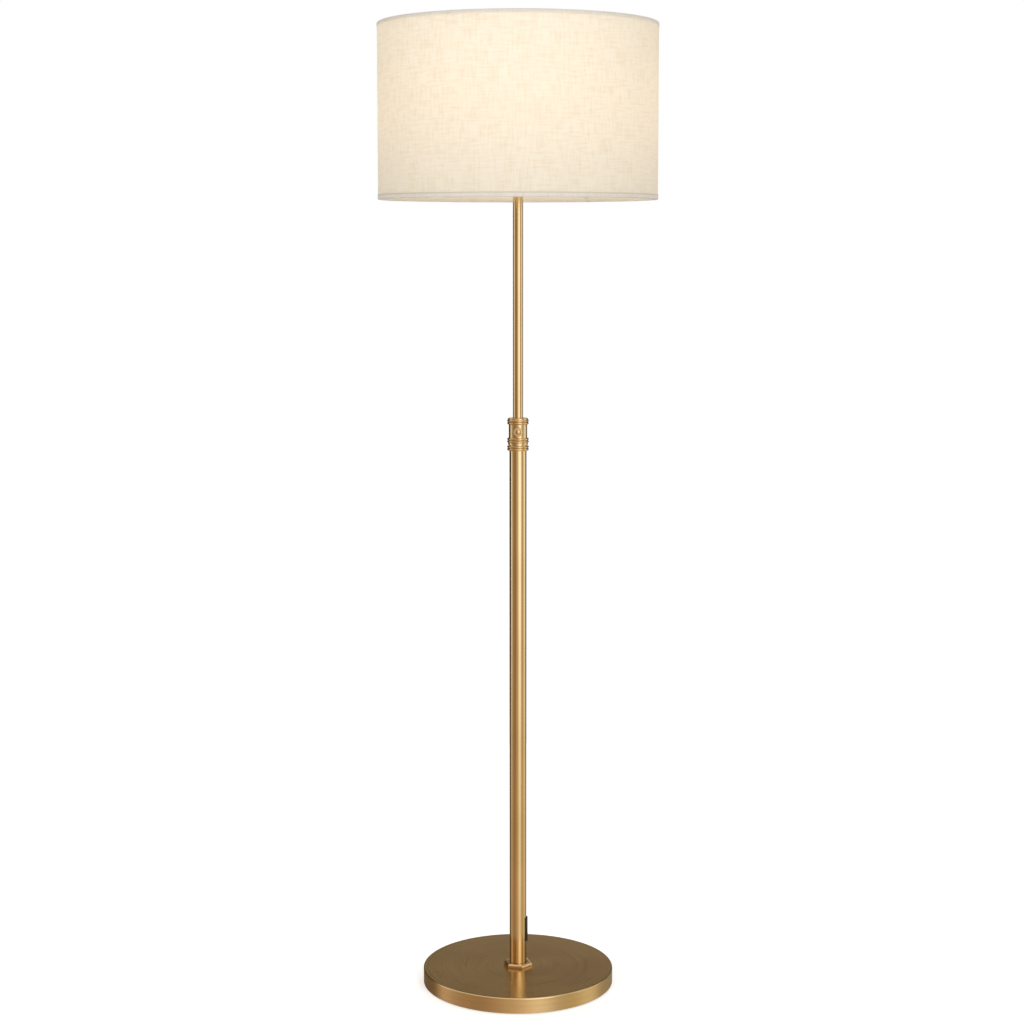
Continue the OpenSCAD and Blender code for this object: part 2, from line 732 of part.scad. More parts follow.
// Lampholder cap: turned neck over the tube, flaring out to the body
module lampholder_cap() {
    neck_r = cap_neck_d / 2;
    color("#b08d57") rotate_extrude() difference() {
        polygon([[0, cap_z], [neck_r - 0.6, cap_z], [neck_r, cap_z + 0.6], [neck_r, cap_z + cap_neck_h],
            [holder_d / 2 - 3, body_z - 4], [holder_d / 2, body_z - 1], [holder_d / 2, body_z], [0, body_z]]);
        translate([0, cap_z - 1]) square([upper_r + seat, upper_top - cap_z + 1]);
        translate([0, cap_z]) square([upper_inner_r + seat, cap_floor_z - cap_z]);
        polygon([[0, cap_floor_z], [neck_r - cap_wall + 1, cap_floor_z],
            [holder_d / 2 - 3 - cap_wall, body_z - 3.4], [holder_d / 2 - cap_wall, body_z - 0.6],
            [holder_d / 2 - cap_wall, body_z + 1], [0, body_z + 1]]);
    }
}

// Lampholder body: the moulded shell, with the shoulder that carries the shade's hub
module lampholder_body() {
    color("#1f1c1a") {
        hoop(holder_d / 2, holder_inner_r, body_z, holder_h);
        hoop(shoulder_d / 2, holder_inner_r, shoulder_z, shoulder_t);
        hoop(holder_inner_r + 0.5, holder_inner_r - 2.5, block_z - 2, 2);
    }
}

// Contact block: ceramic block in the lampholder
module contact_block() {
    color("#e9e4da") difference() {
        translate([0, 0, block_z]) cylinder(h = block_h, r = holder_inner_r - seat);
        for (s = [-1, 1]) translate([s * holder_screw_x(), 0, block_z - 1])
            cylinder(h = block_h - 1, d = holder_screw_d() + 2 * seat);
    }
}

// Holder screws: the two contact screws under the block
module holder_screws() {
    drop = holder_screw_drop();
    color("#c8a24e") for (s = [-1, 1]) translate([s * holder_screw_x(), 0, block_z]) {
        cylinder(h = block_h - 2.5, d = holder_screw_d());
        translate([0, 0, -drop]) cylinder(h = drop, d = 6);
    }
}

// Centre contact: the sprung tongue that meets the bulb's tip
module centre_contact() {
    color("#c8a24e") translate([0, 0, block_top]) {
        cylinder(h = 1, d = 12);
        cylinder(h = contact_h - seat, d = 6);
    }
}

// Socket shell: the screw shell of the lampholder
module socket_shell() {
    socket_top = body_z + holder_h - 2;
    color("#c9ccd0") hoop(socket_d / 2 + socket_t, socket_d / 2, block_top, socket_top - block_top);
}

// Shade ring nut: holds the spider's hub down on the shoulder
module shade_ring_nut() {
    notches = 8;
    color("#1f1c1a") difference() {
        union() {
            hoop(ring_nut_d / 2, holder_d / 2 + running, ring_nut_z, ring_nut_h - 2);
            hoop(ring_nut_d / 2 - 1.5, holder_d / 2 + running, ring_nut_z, ring_nut_h);
        }
        for (i = [0 : notches - 1]) rotate(i * 360 / notches)
            translate([ring_nut_d / 2 + 0.8, 0, ring_nut_z + 1.5]) cylinder(h = ring_nut_h, d = 5, $fn = 32);
    }
}

// The direction of each spider arm
module at_arms() {
    for (i = [0 : arms - 1]) rotate(first_arm_angle + i * 360 / arms) children();
}

// Spider arms: hub washer with three wire arms that slope down to the lower ring
module spider_arms() {
    ring_side_r = ring_r - ring_wire_d / 2 - running;
    bend = 14;
    color("#c9ccd0") {
        hoop(hub_d / 2, holder_d / 2 + free, hub_z, hub_t);
        at_arms() {
            rod([hub_d / 2 - 1, 0, arm_z], [ring_side_r - bend, 0, lower_ring_z + bend / 2], arm_d);
            rod([ring_side_r - bend - 1, 0, lower_ring_z + bend / 2 + 0.4],
                [ring_side_r, 0, lower_ring_z + 0.5], arm_d + bend_swell);
        }
    }
}

// Lower ring: the wire ring inside the shade's lower edge
module lower_ring() {
    color("#c9ccd0") translate([0, 0, lower_ring_z])
        rotate_extrude($fn = 128) translate([ring_r, 0]) circle(d = ring_wire_d, $fn = 24);
}

// Upper ring: the wire ring inside the shade's upper edge
module upper_ring() {
    color("#c9ccd0") translate([0, 0, upper_ring_z])
        rotate_extrude($fn = 128) translate([ring_r, 0]) circle(d = ring_wire_d, $fn = 24);
}

// Shade liner: the stiff translucent sheet that the linen is bonded to
module shade_liner() {
    color("#f4ead2") hoop(liner_r - seat, liner_inner_r, shade_z + tape_t, shade_h - 2 * tape_t);
}

// Shade linen: the cloth drum
module shade_linen() {
    color("#efe2c8") hoop(linen_r, liner_r, shade_z + tape_t, shade_h - 2 * tape_t);
}

// The half section of a tape folded round an edge: outer leg, fold and inner leg
module tape_half(h) {
    fold_r = ring_r - ring_wire_d / 2 - running - tape_t;
    translate([linen_r, 0]) square([tape_t, h]);
    translate([fold_r, 0]) square([linen_r + tape_t - fold_r, tape_t - seat]);
    translate([fold_r, 0]) square([tape_t, ring_wire_d + tape_t]);
}

// Top tape: cloth tape folded round the shade's upper edge
module top_tape() {
    color("#e3d9cc") translate([0, 0, shade_top]) mirror([0, 0, 1])
        rotate_extrude($fn = 128) tape_half(top_tape_h);
}

// Bottom tape: cloth tape folded round the shade's lower edge, slit where the arms pass
module bottom_tape() {
    color("#e3d9cc") difference() {
        translate([0, 0, shade_z]) rotate_extrude($fn = 128) tape_half(bottom_tape_h);
        at_arms() translate([ring_r - ring_wire_d / 2 - arm_d - 2, -arm_d / 2 - 0.5, shade_z + tape_t])
            cube([arm_d + 2, arm_d + 1, ring_wire_d + 1]);
    }
}

// Half section of a rounded thread of a given outer radius, as rings
function thread_points(r, h, pitch, depth) =
    [for (i = [0 : 4 * floor(h / pitch)]) [r - depth / 2 + depth / 2 * cos(90 * i), i * pitch / 4]];

// Bulb cap: the screw shell of the bulb
module bulb_cap() {
    pitch = 3.6;
    depth = 1.2;
    rim_r = bulb_cap_d / 2 + 0.9;
    points = thread_points(bulb_cap_d / 2, bulb_cap_h - glass_seat_h, pitch, depth);
    top = points[len(points) - 1];
    color("#c9ccd0") translate([0, 0, bulb_cap_z]) rotate_extrude() difference() {
        polygon(concat([[0, 0]], points,
            [[top.x, bulb_cap_h - 3.4], [rim_r, bulb_cap_h - 1.2], [rim_r, bulb_cap_h], [0, bulb_cap_h]]));
        translate([0, 1]) square([bulb_cap_d / 2 - 2, bulb_cap_h]);
        translate([0, glass_z - bulb_cap_z]) square([glass_neck_r() + seat, bulb_cap_h]);
    }
}

// Bulb insulator: the black glass disc between the cap and the tip contact
module bulb_insulator() {
    color("#1a1a1e") translate([0, 0, insulator_z])
        cylinder(h = insulator_h, d1 = 11, d2 = bulb_cap_d - 3);
}

// Bulb contact: the soldered tip
module bulb_contact() {
    color("#c9ccd0") translate([0, 0, bulb_z]) cylinder(h = insulator_z - bulb_z, d1 = 6, d2 = 9);
}

// The bulb glass's neck radius
function glass_neck_r() = bulb_cap_d / 2 - 0.6;

// Half outline of the bulb's glass, shrunk by a wall: a neck that widens smoothly into a ball
function bulb_outline(wall) =
    let (r = bulb_d / 2 - wall, neck = glass_neck_r() - wall, join = 45,
        z1 = bulb_centre - r * sin(join), r1 = r * cos(join), l = z1 - glass_z, steps = 12)
    concat(
        [for (i = [0 : steps]) let (u = i / steps)
            [neck * (2 * u ^ 3 - 3 * u ^ 2 + 1) + r1 * (3 * u ^ 2 - 2 * u ^ 3)
                + tan(join) * l * (u ^ 3 - u ^ 2), glass_z + u * l]],
        [for (a = [-join + 5 : 5 : 90]) [r * cos(a), bulb_centre + r * sin(a)]]);

// Bulb glass: clear envelope
module bulb_glass() {
    outer = bulb_outline(0);
    inner = bulb_outline(glass_t);
    color([0.95, 0.95, 0.92, 0.4]) rotate_extrude()
        polygon(concat(outer, [for (i = [len(inner) - 1 : -1 : 0]) inner[i]]));
}

// Bulb stem: glass stem that carries the filaments
module bulb_stem() {
    stem_r = glass_neck_r() - glass_t - 1;
    color([0.9, 0.9, 0.9, 0.5]) {
        translate([0, 0, glass_z + 1]) cylinder(h = 10, r1 = stem_r, r2 = 4);
        translate([0, 0, glass_z + 10]) cylinder(h = stem_top - glass_z - 10, d = 6);
    }
}

// Lower and upper ends of filament i, which leans outwards
function filament_low(i) = let (a = 45 + i * 360 / filaments)
    [filament_r * cos(a), filament_r * sin(a), filament_z];
function filament_high(i) =
    let (a = 45 + i * 360 / filaments, r = filament_r + filament_l * sin(filament_lean))
    [r * cos(a), r * sin(a), filament_z + filament_l * cos(filament_lean)];

// Filament wires: the supports between the stem and the filaments
module filament_wires() {
    post_d = 1;
    spoke_d = 0.7;
    overlap = [0, 0, 1.2];
    centre_top = [0, 0, filament_high(0).z + 2];
    color("#b9bcc0") {
        rod([0, 0, stem_top], centre_top, post_d);
        for (i = [0 : filaments - 1]) {
            rod([0, 0, stem_top + 1], filament_low(i) - overlap, spoke_d);
            rod(centre_top, filament_high(i) + overlap, spoke_d);
        }
    }
}

// LED filaments: the rods that give the light
module led_filaments() {
    color("#f2c46a") for (i = [0 : filaments - 1]) rod(filament_low(i), filament_high(i), filament_d);
}

base_pad();
bottom_plate();
plate_screws();
base_weight();
base_cover();
cord_bushing();
clamp_nut();
clamp_washer();
foot_nipple();
foot_nut();
tube_plug();
lower_tube();
switch_housing();
switch_terminals();
switch_rocker();
lower_lead();
slack_lead();
lower_collar_ring();
lock_collar();
guide_bush();
pressure_pad();
thumbscrew();
stop_bush();
end_ferrule();
retaining_ring();
upper_tube();
upper_lead();
tube_coupler();
coupler_locknut();
lampholder_cap();
lampholder_body();
contact_block();
centre_contact();
socket_shell();
holder_screws();
shade_ring_nut();
spider_arms();
lower_ring();
upper_ring();
shade_liner();
shade_linen();
top_tape();
bottom_tape();
bulb_cap();
bulb_insulator();
bulb_contact();
bulb_glass();
bulb_stem();
filament_wires();
led_filaments();
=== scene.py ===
"""The looks of a telescopic floor lamp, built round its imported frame.

Lengths are in metres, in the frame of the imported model: +Z up, the pole on the Z axis, the
thumbscrew facing -Y, the rocker switch +X and the cord inlet +Y.
"""

import json
import logging
import math
from collections.abc import Callable
from dataclasses import dataclass, replace
from enum import Enum

import bmesh
import bpy
from mathutils import Matrix, Vector

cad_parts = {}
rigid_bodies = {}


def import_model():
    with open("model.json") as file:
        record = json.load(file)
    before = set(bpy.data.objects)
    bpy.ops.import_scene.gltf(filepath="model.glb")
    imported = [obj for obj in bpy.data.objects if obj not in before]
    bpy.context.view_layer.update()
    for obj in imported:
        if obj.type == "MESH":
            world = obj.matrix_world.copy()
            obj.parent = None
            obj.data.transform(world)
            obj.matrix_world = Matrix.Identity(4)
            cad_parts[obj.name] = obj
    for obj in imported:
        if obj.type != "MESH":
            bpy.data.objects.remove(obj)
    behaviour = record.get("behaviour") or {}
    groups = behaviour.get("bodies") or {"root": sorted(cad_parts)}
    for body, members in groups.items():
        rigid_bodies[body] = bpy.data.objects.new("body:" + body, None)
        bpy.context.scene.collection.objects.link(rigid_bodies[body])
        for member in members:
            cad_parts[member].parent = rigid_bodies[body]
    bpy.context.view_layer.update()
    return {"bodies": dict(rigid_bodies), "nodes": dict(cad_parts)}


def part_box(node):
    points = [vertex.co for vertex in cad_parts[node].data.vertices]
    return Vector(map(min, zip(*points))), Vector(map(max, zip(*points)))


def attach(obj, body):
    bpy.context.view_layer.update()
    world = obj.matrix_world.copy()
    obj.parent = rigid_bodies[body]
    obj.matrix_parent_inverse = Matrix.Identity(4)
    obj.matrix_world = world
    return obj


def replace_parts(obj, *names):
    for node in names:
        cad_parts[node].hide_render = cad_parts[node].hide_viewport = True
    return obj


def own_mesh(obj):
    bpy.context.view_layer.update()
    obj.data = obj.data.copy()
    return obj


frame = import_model()

MM = 0.001
UP = Vector((0, 0, 1))
FLAT_MAP = "flat"
# The inputs of a MapRange node, in order.
RANGE = ("Value", "From Min", "From Max", "To Min", "To Max")
# A Mix node has sockets for each kind of data: the factor, the two colours and the mixed colour.
MIX, MIX_RESULT = (0, 6, 7), 2

Colour = tuple[float, float, float, float]
Outline = list[tuple[float, float]]
Sockets = dict[str | int, object]
Node = bpy.types.Node
Tree = bpy.types.NodeTree
Piece = bpy.types.Object
Shape = bmesh.types.BMesh

log = logging.getLogger("floor_lamp")


class Grain(Enum):
    """The way that brushing or turning marks run on a metal."""

    ALONG = "along a tube that stands on the Z axis"
    TURNED = "in circles round the Z axis"
    TURNED_ACROSS = "in circles round an axis that points at -Y"


class Face(Enum):
    """Which side of a cloth a finish is for."""

    FRONT = "the side that shows"
    BACK = "the side that is bonded to another layer"


def linear(hex_colour: str) -> Colour:
    """Turns an sRGB hex colour into the linear colour that shaders take.

    Args:
        hex_colour: six hex digits, with or without a leading #.

    Returns:
        Linear red, green, blue and an alpha of 1.
    """
    digits = hex_colour.lstrip("#")
    channels = [int(digits[i:i + 2], 16) / 255 for i in (0, 2, 4)]
    return (*(c / 12.92 if c <= 0.04045 else ((c + 0.055) / 1.055) ** 2.4 for c in channels), 1.0)


def feed(node: Node, inputs: Sockets) -> None:
    """Gives a node's inputs their values and links.

    Args:
        node: the node.
        inputs: for each input, a value, the output socket that feeds it, or the node whose first
            output feeds it.
    """
    for key, value in inputs.items():
        source = value.outputs[0] if isinstance(value, Node) else value
        if isinstance(source, bpy.types.NodeSocket):
            node.id_data.links.new(source, node.inputs[key])
        else:
            node.inputs[key].default_value = source


def add_node(tree: Tree, kind: str, inputs: Sockets | None = None, **settings: object) -> Node:
    """Adds one shader node with its settings, values and links.

    Args:
        tree: the node tree that gets the node.
        kind: Blender's name of the node, without its leading ShaderNode.
        inputs: for each input, a value, a socket or a node, as in feed.
        **settings: the node's own properties, such as operation="MULTIPLY".

    Returns:
        The new node.
    """
    node = tree.nodes.new("ShaderNode" + kind)
    for name, value in settings.items():
        setattr(node, name, value)
    feed(node, inputs or {})
    return node


# ---------------------------------------------------------------- finishes


@dataclass(frozen=True)
class Finish:
    """A surface finish: one Principled shader, and what the making leaves on the surface."""

    name: str
    colour: str
    roughness: float
    metallic: float = 0.0

    def material(self) -> bpy.types.Material:
        """Gives the finish's material, which is made the first time it is asked for.

        Returns:
            The material.
        """
        made = bpy.data.materials.get(self.name)
        if made is None:
            made = bpy.data.materials.new(self.name)
            made.use_nodes = True
            shader = made.node_tree.nodes["Principled BSDF"]
            feed(shader, {"Base Color": linear(self.colour), "Roughness": self.roughness,
                          "Metallic": self.metallic})
            self.work(made.node_tree, shader)
        return made

    def work(self, tree: Tree, shader: Node) -> None:
        """Adds what the making leaves on the surface.

        Args:
            tree: the material's node tree.
            shader: its Principled node.
        """
        raise NotImplementedError

    def mottled(self, tree: Tree, pattern: Node, bounds: tuple[float, float], shares: tuple[float, float],
                colours: tuple[object, object]) -> bpy.types.NodeSocket:
        """Mixes a second colour in where a pattern is strong or weak.

        Args:
            tree: the material's node tree.
            pattern: the node of the pattern, from 0 to 1.
            bounds: the two values of the pattern that the share of the second colour runs between.
            shares: that share at these two values.
            colours: the two colours, or the sockets that they come from.

        Returns:
            The mixed colour.
        """
        share = add_node(tree, "MapRange", dict(zip(RANGE, (pattern, *bounds, *shares))))
        return add_node(tree, "Mix", dict(zip(MIX, (share, *colours))), data_type="RGBA").outputs[MIX_RESULT]

    def grain_noise(self, tree: Tree, size: float, stretch: Vector, detail: float = 2.0) -> Node:
        """Adds a noise over the piece's own coordinates.

        Args:
            tree: the material's node tree.
            size: the width of one grain.
            stretch: how much longer than that width a grain is along X, Y and Z.
            detail: how many finer layers the noise has.

        Returns:
            The node of the noise, from 0 to 1.
        """
        coordinates = add_node(tree, "TexCoord").outputs["Object"]
        scale = Vector([1 / s for s in stretch])
        mapped = add_node(tree, "Mapping", {"Vector": coordinates, "Scale": scale})
        return add_node(tree, "TexNoise", {"Vector": mapped, "Scale": 1 / size, "Detail": detail})


@dataclass(frozen=True)
class BrushedBrass(Finish):
    """Antique brass: brass plate, brushed, toned a little and lacquered.

    The eye sees a warm satin metal with soft stripes of light, fine marks that run the way of
    the brush, and slow drifts of tone where the patina is deeper.
    """

    grain: Grain = Grain.ALONG
    axis_height: float = 0.0
    tone: str = "#B08F5C"
    tone_share: float = 0.25
    # Real brushing marks are 0.1 to 0.2 mm wide. They are drawn this wide, so that they show.
    mark: float = 2.4 * MM
    mark_run: float = 240 * MM
    mark_depth: float = 0.008 * MM
    # How a mark changes the colour, and how it changes the roughness.
    mark_shade: tuple[float, float] = (0.965, 1.03)
    mark_gloss: tuple[float, float] = (-0.02, 0.04)
    # The width of a drift of patina, and how much longer than that width it is.
    drift_width: float = 70 * MM
    drift_stretch: tuple[float, float, float] = (1.0, 1.0, 1.6)
    # The values of the noise that the drifts, the marks' colour and their gloss change between.
    drift_bounds: tuple[float, float] = (0.38, 0.72)
    shade_bounds: tuple[float, float] = (0.3, 0.7)
    gloss_bounds: tuple[float, float] = (0.25, 0.75)
    relief: float = 0.5

    def marks(self, tree: Tree) -> Node:
        """Adds the brushing marks.

        Args:
            tree: the material's node tree.

        Returns:
            The node of the marks' height, from 0 to 1.
        """
        along = self.mark_run / self.mark
        if self.grain is Grain.ALONG:
            return self.grain_noise(tree, self.mark, Vector((1, 1, along)))
        split = add_node(tree, "SeparateXYZ", {0: add_node(tree, "TexCoord").outputs["Object"]})
        x, y, z = split.outputs
        across, height = (y, z) if self.grain is Grain.TURNED else (z, y)
        if self.grain is Grain.TURNED_ACROSS:
            across = add_node(tree, "Math", {0: z, 1: self.axis_height}, operation="SUBTRACT")
        spoke = add_node(tree, "CombineXYZ", {0: x, 1: across})
        radius = add_node(tree, "VectorMath", {0: spoke}, operation="LENGTH").outputs["Value"]
        unit = add_node(tree, "VectorMath", {0: spoke}, operation="NORMALIZE")
        way = add_node(tree, "SeparateXYZ", {0: unit})
        # The way round is read as a direction, so that the rings close without a seam.
        rings = add_node(tree, "CombineXYZ", {0: radius, 1: height})
        fine = add_node(tree, "VectorMath", {0: rings, "Scale": 1 / self.mark}, operation="SCALE")
        lean = add_node(tree, "CombineXYZ", {2: way.outputs[0]})
        rolled = add_node(tree, "VectorMath", {0: fine, 1: lean}, operation="ADD")
        inputs = {"Vector": rolled, "W": way.outputs[1], "Scale": 1.0, "Detail": 2.0}
        return add_node(tree, "TexNoise", inputs, noise_dimensions="4D")

    def work(self, tree: Tree, shader: Node) -> None:
        """Adds the brushing marks, the drifts of patina and the lacquer's uneven gloss.

        Args:
            tree: the material's node tree.
            shader: its Principled node.
        """
        marks = self.marks(tree)
        patina = self.grain_noise(tree, self.drift_width, Vector(self.drift_stretch), detail=1.0)
        toned = self.mottled(tree, patina, self.drift_bounds, (0.0, self.tone_share),
                             (linear(self.colour), linear(self.tone)))
        shade = add_node(tree, "MapRange", dict(zip(RANGE, (marks, *self.shade_bounds, *self.mark_shade))))
        colour = add_node(tree, "VectorMath", {0: toned, "Scale": shade}, operation="SCALE")
        ends = [self.roughness + change for change in self.mark_gloss]
        gloss = add_node(tree, "MapRange", dict(zip(RANGE, (marks, *self.gloss_bounds, *ends))))
        bump = add_node(tree, "Bump", {"Strength": self.relief, "Distance": self.mark_depth, "Height": marks})
        feed(shader, {"Base Color": colour, "Roughness": gloss, "Normal": bump})


@dataclass(frozen=True)
class GrainyFinish(Finish):
    """A finish whose surface is an even grain: a casting, a moulding, a foam or a plate.

    The eye sees a broken-up gloss and a slight change of tone from grain to grain.
    """

    grain_size: float = 0.5 * MM
    grain_depth: float = 0.05 * MM
    stretch: tuple[float, float, float] = (1.0, 1.0, 1.0)
    dark: str = "#000000"
    dark_share: float = 0.2
    gloss_spread: float = 0.05
    # The values of the noise that the tone and the gloss change between.
    tone_bounds: tuple[float, float] = (0.35, 0.7)
    gloss_bounds: tuple[float, float] = (0.3, 0.7)
    relief: float = 0.6

    def work(self, tree: Tree, shader: Node) -> None:
        """Adds the grain to the colour, the gloss and the height.

        Args:
            tree: the material's node tree.
            shader: its Principled node.
        """
        grain = self.grain_noise(tree, self.grain_size, Vector(self.stretch), detail=3.0)
        colour = self.mottled(tree, grain, self.tone_bounds, (self.dark_share, 0.0),
                              (linear(self.colour), linear(self.dark)))
        ends = (self.roughness - self.gloss_spread, self.roughness + self.gloss_spread)
        gloss = add_node(tree, "MapRange", dict(zip(RANGE, (grain, *self.gloss_bounds, *ends))))
        bump = add_node(tree, "Bump", {"Strength": self.relief, "Distance": self.grain_depth,
                                       "Height": grain})
        feed(shader, {"Base Color": colour, "Roughness": gloss, "Normal": bump})


@dataclass(frozen=True)
class ClearGlass(GrainyFinish):
    """Blown soda glass: clear and smooth, with the faint waves of blowing."""

    relief: float = 0.2
    refraction: float = 1.5

    def work(self, tree: Tree, shader: Node) -> None:
        """Adds the waves, and lets light through.

        Args:
            tree: the material's node tree.
            shader: its Principled node.
        """
        waves = self.grain_noise(tree, self.grain_size, Vector(self.stretch))
        bump = add_node(tree, "Bump", {"Strength": self.relief, "Distance": self.grain_depth,
                                       "Height": waves})
        feed(shader, {"Transmission Weight": 1.0, "IOR": self.refraction, "Normal": bump})


@dataclass(frozen=True)
class LitPhosphor(GrainyFinish):
    """Yellow silicone with phosphor over a row of chips, lit: a warm, even, glowing rod."""

    light: str = "#FFC478"
    strength: float = 14.0

    def work(self, tree: Tree, shader: Node) -> None:
        """Adds the grain of the phosphor and its light."""
        super().work(tree, shader)
        feed(shader, {"Emission Color": linear(self.light), "Emission Strength": self.strength})


@dataclass(frozen=True)
class LinerSheet(GrainyFinish):
    """Matt translucent styrene sheet: it scatters the lamp's light, so that the bulb doesn't show."""

    through: float = 0.35

    def work(self, tree: Tree, shader: Node) -> None:
        """Adds the sheet's faint mottle and lets part of the light through.

        Args:
            tree: the material's node tree.
            shader: its Principled node.
        """
        super().work(tree, shader)
        glow = add_node(tree, "BsdfTranslucent", {"Color": linear(self.colour)})
        mixed = add_node(tree, "MixShader", {0: self.through, 1: shader, 2: glow})
        feed(tree.nodes["Material Output"], {"Surface": mixed})


@dataclass(frozen=True)
class WovenLinen(Finish):
    """Slub linen in a plain weave, unbleached off-white, with the lamp's light behind it.

    The eye sees uneven threads both ways, thick slubs and a few dark flecks, and a soft glow.
    """

    face: Face = Face.FRONT
    slub_colour: str = "#DCCBAF"
    fleck_colour: str = "#8F7F69"
    # Real linen has a thread every 0.7 mm. It is drawn at this pitch, so that it shows.
    thread: float = 1.5 * MM
    thread_depth: float = 0.07 * MM
    slub_width: float = 3.6 * MM
    slub_run: float = 26 * MM
    slub_share: float = 0.3
    slub_bounds: tuple[float, float] = (0.86, 1.3)
    # How much more a slub raises the surface than the weave does.
    slub_relief: float = 2.0
    fleck_width: float = 3.1 * MM
    fleck_share: float = 0.5
    fleck_bounds: tuple[float, float] = (0.79, 0.84)
    # Where in the noise the weft, the warp and the flecks are taken from.
    seeds: tuple[float, float, float] = (3.0, 7.0, 11.0)
    relief: float = 0.5
    sheen: float = 0.1
    through: float = 0.42

    def slubs(self, tree: Tree, flat: Node, across: bool, seed: float, width: float) -> Node:
        """Adds the uneven threads that run one way.

        Args:
            tree: the material's node tree.
            flat: the node of the cloth's own coordinates, in metres.
            across: True for the threads that run round the shade, False for the upright ones.
            seed: where in the noise these threads are taken from.
            width: the width of a slub.

        Returns:
            The node of how thick the threads are, from 0 to 1.
        """
        shares = (width / self.slub_run, 1.0, 1.0) if across else (1.0, width / self.slub_run, 1.0)
        mapped = add_node(tree, "Mapping", {"Vector": flat, "Location": (seed, seed, 0), "Scale": shares})
        return add_node(tree, "TexNoise", {"Vector": mapped, "Scale": 1 / width, "Detail": 1.5})

    def work(self, tree: Tree, shader: Node) -> None:
        """Adds the weave, the slubs, the flecks and the light that comes through.

        Args:
            tree: the material's node tree.
            shader: its Principled node.
        """
        flat = add_node(tree, "UVMap", uv_map=FLAT_MAP)
        weft = self.slubs(tree, flat, True, self.seeds[0], self.slub_width)
        warp = self.slubs(tree, flat, False, self.seeds[1], self.slub_width)
        thick = add_node(tree, "Math", {0: weft, 1: warp}, operation="ADD")
        threads = self.mottled(tree, thick, self.slub_bounds, (0.0, self.slub_share),
                               (linear(self.colour), linear(self.slub_colour)))
        specks = self.slubs(tree, flat, False, self.seeds[2], self.fleck_width)
        colour = self.mottled(tree, specks, self.fleck_bounds, (0.0, self.fleck_share),
                              (threads, linear(self.fleck_colour)))
        wave = add_node(tree, "VectorMath", {0: flat, "Scale": 2 * math.pi / self.thread}, operation="SCALE")
        crests = add_node(tree, "VectorMath", {0: wave}, operation="SINE")
        across, up, _ = add_node(tree, "SeparateXYZ", {0: crests}).outputs
        weave = add_node(tree, "Math", {0: across, 1: up}, operation="MULTIPLY")
        height = add_node(tree, "Math", {0: thick, 1: self.slub_relief, 2: weave}, operation="MULTIPLY_ADD")
        bump = add_node(tree, "Bump", {"Strength": self.relief, "Distance": self.thread_depth,
                                       "Height": height})
        feed(shader, {"Base Color": colour, "Normal": bump, "Sheen Weight": self.sheen})
        glow = add_node(tree, "BsdfTranslucent", {"Color": colour})
        surface = add_node(tree, "MixShader", {0: self.through, 1: shader, 2: glow})
        if self.face is Face.BACK:
            # The bonded side lets the lamp's rays pass, so that the front gets them straight.
            path = add_node(tree, "LightPath").outputs["Is Shadow Ray"]
            clear = add_node(tree, "BsdfTransparent")
            surface = add_node(tree, "MixShader", {0: path, 1: surface, 2: clear})
        feed(tree.nodes["Material Output"], {"Surface": surface})


# Brass plate on drawn tube, brushed along it: long soft stripes.
TUBE_BRASS = BrushedBrass("brushed_antique_brass_tube", "#DDBF8E", 0.16, 1.0, grain=Grain.ALONG)
# Brass plate on spun steel and turned brass, brushed on the lathe: fine rings.
TURNED_BRASS = BrushedBrass("brushed_antique_brass_turned", "#DDBF8E", 0.22, 1.0, grain=Grain.TURNED)
# The same on the thumbscrew, which is turned about its own axis.
SCREW_BRASS = BrushedBrass("brushed_antique_brass_screw", "#DDBF8E", 0.22, 1.0, grain=Grain.TURNED_ACROSS,
                           axis_height=0.89325)
# Bright zinc plate on steel: pale grey with a slight spangle.
ZINC = GrainyFinish("zinc_plated_steel", "#BDBFC1", 0.34, 1.0, grain_size=2 * MM, grain_depth=0.01 * MM,
                    dark="#8F9296", dark_share=0.5)
# Sand-cast iron under black primer: coarse, dull and dark.
IRON = GrainyFinish("primed_cast_iron", "#3A3734", 0.75, grain_size=1.4 * MM, grain_depth=0.3 * MM,
                    dark="#1C1A18", dark_share=0.7)
# Closed-cell foam: black and matt, pitted with cells.
FOAM = GrainyFinish("closed_cell_foam", "#2B2A28", 0.92, grain_size=0.9 * MM, grain_depth=0.25 * MM,
                    dark="#0F0F0E", dark_share=0.8)
# Moulded thermoplastic from a spark-eroded tool: black with a fine matt grain.
MOULDED_BLACK = GrainyFinish("moulded_black_plastic", "#24180F", 0.48, grain_size=0.6 * MM,
                             grain_depth=0.03 * MM, dark="#0C0B0A", dark_share=0.4)
# Moulded thermoplastic from a polished tool: black and smooth, with a faint orange peel.
GLOSS_BLACK = GrainyFinish("polished_black_plastic", "#1B120B", 0.22, grain_size=4 * MM,
                           grain_depth=0.02 * MM, dark="#0A0908", dark_share=0.3)
# Natural nylon, moulded: milky and waxy.
NYLON = GrainyFinish("natural_nylon", "#DDD8CA", 0.42, grain_size=2.5 * MM, grain_depth=0.01 * MM,
                     dark="#C9C2B0", dark_share=0.4)
# Bright stamped brass of the contacts: yellow, with the marks of the strip's rolling.
CONTACT = GrainyFinish("stamped_contact_brass", "#D9B566", 0.26, 1.0, grain_size=0.6 * MM,
                       grain_depth=0.01 * MM, stretch=(1, 12, 1), dark="#B08C44", dark_share=0.5)
# Extruded PVC sheath: dark grey, smooth and slightly waxy.
SHEATH = GrainyFinish("extruded_pvc_sheath", "#2C2B2A", 0.45, grain_size=1.5 * MM, grain_depth=0.02 * MM,
                      stretch=(1, 1, 6), dark="#1B1A19", dark_share=0.4)
# Pressed steatite: white and glazed, with faint specks.
STEATITE = GrainyFinish("pressed_steatite", "#EDE8DD", 0.35, grain_size=0.8 * MM, grain_depth=0.02 * MM,
                        dark="#CFC6B4", dark_share=0.4)
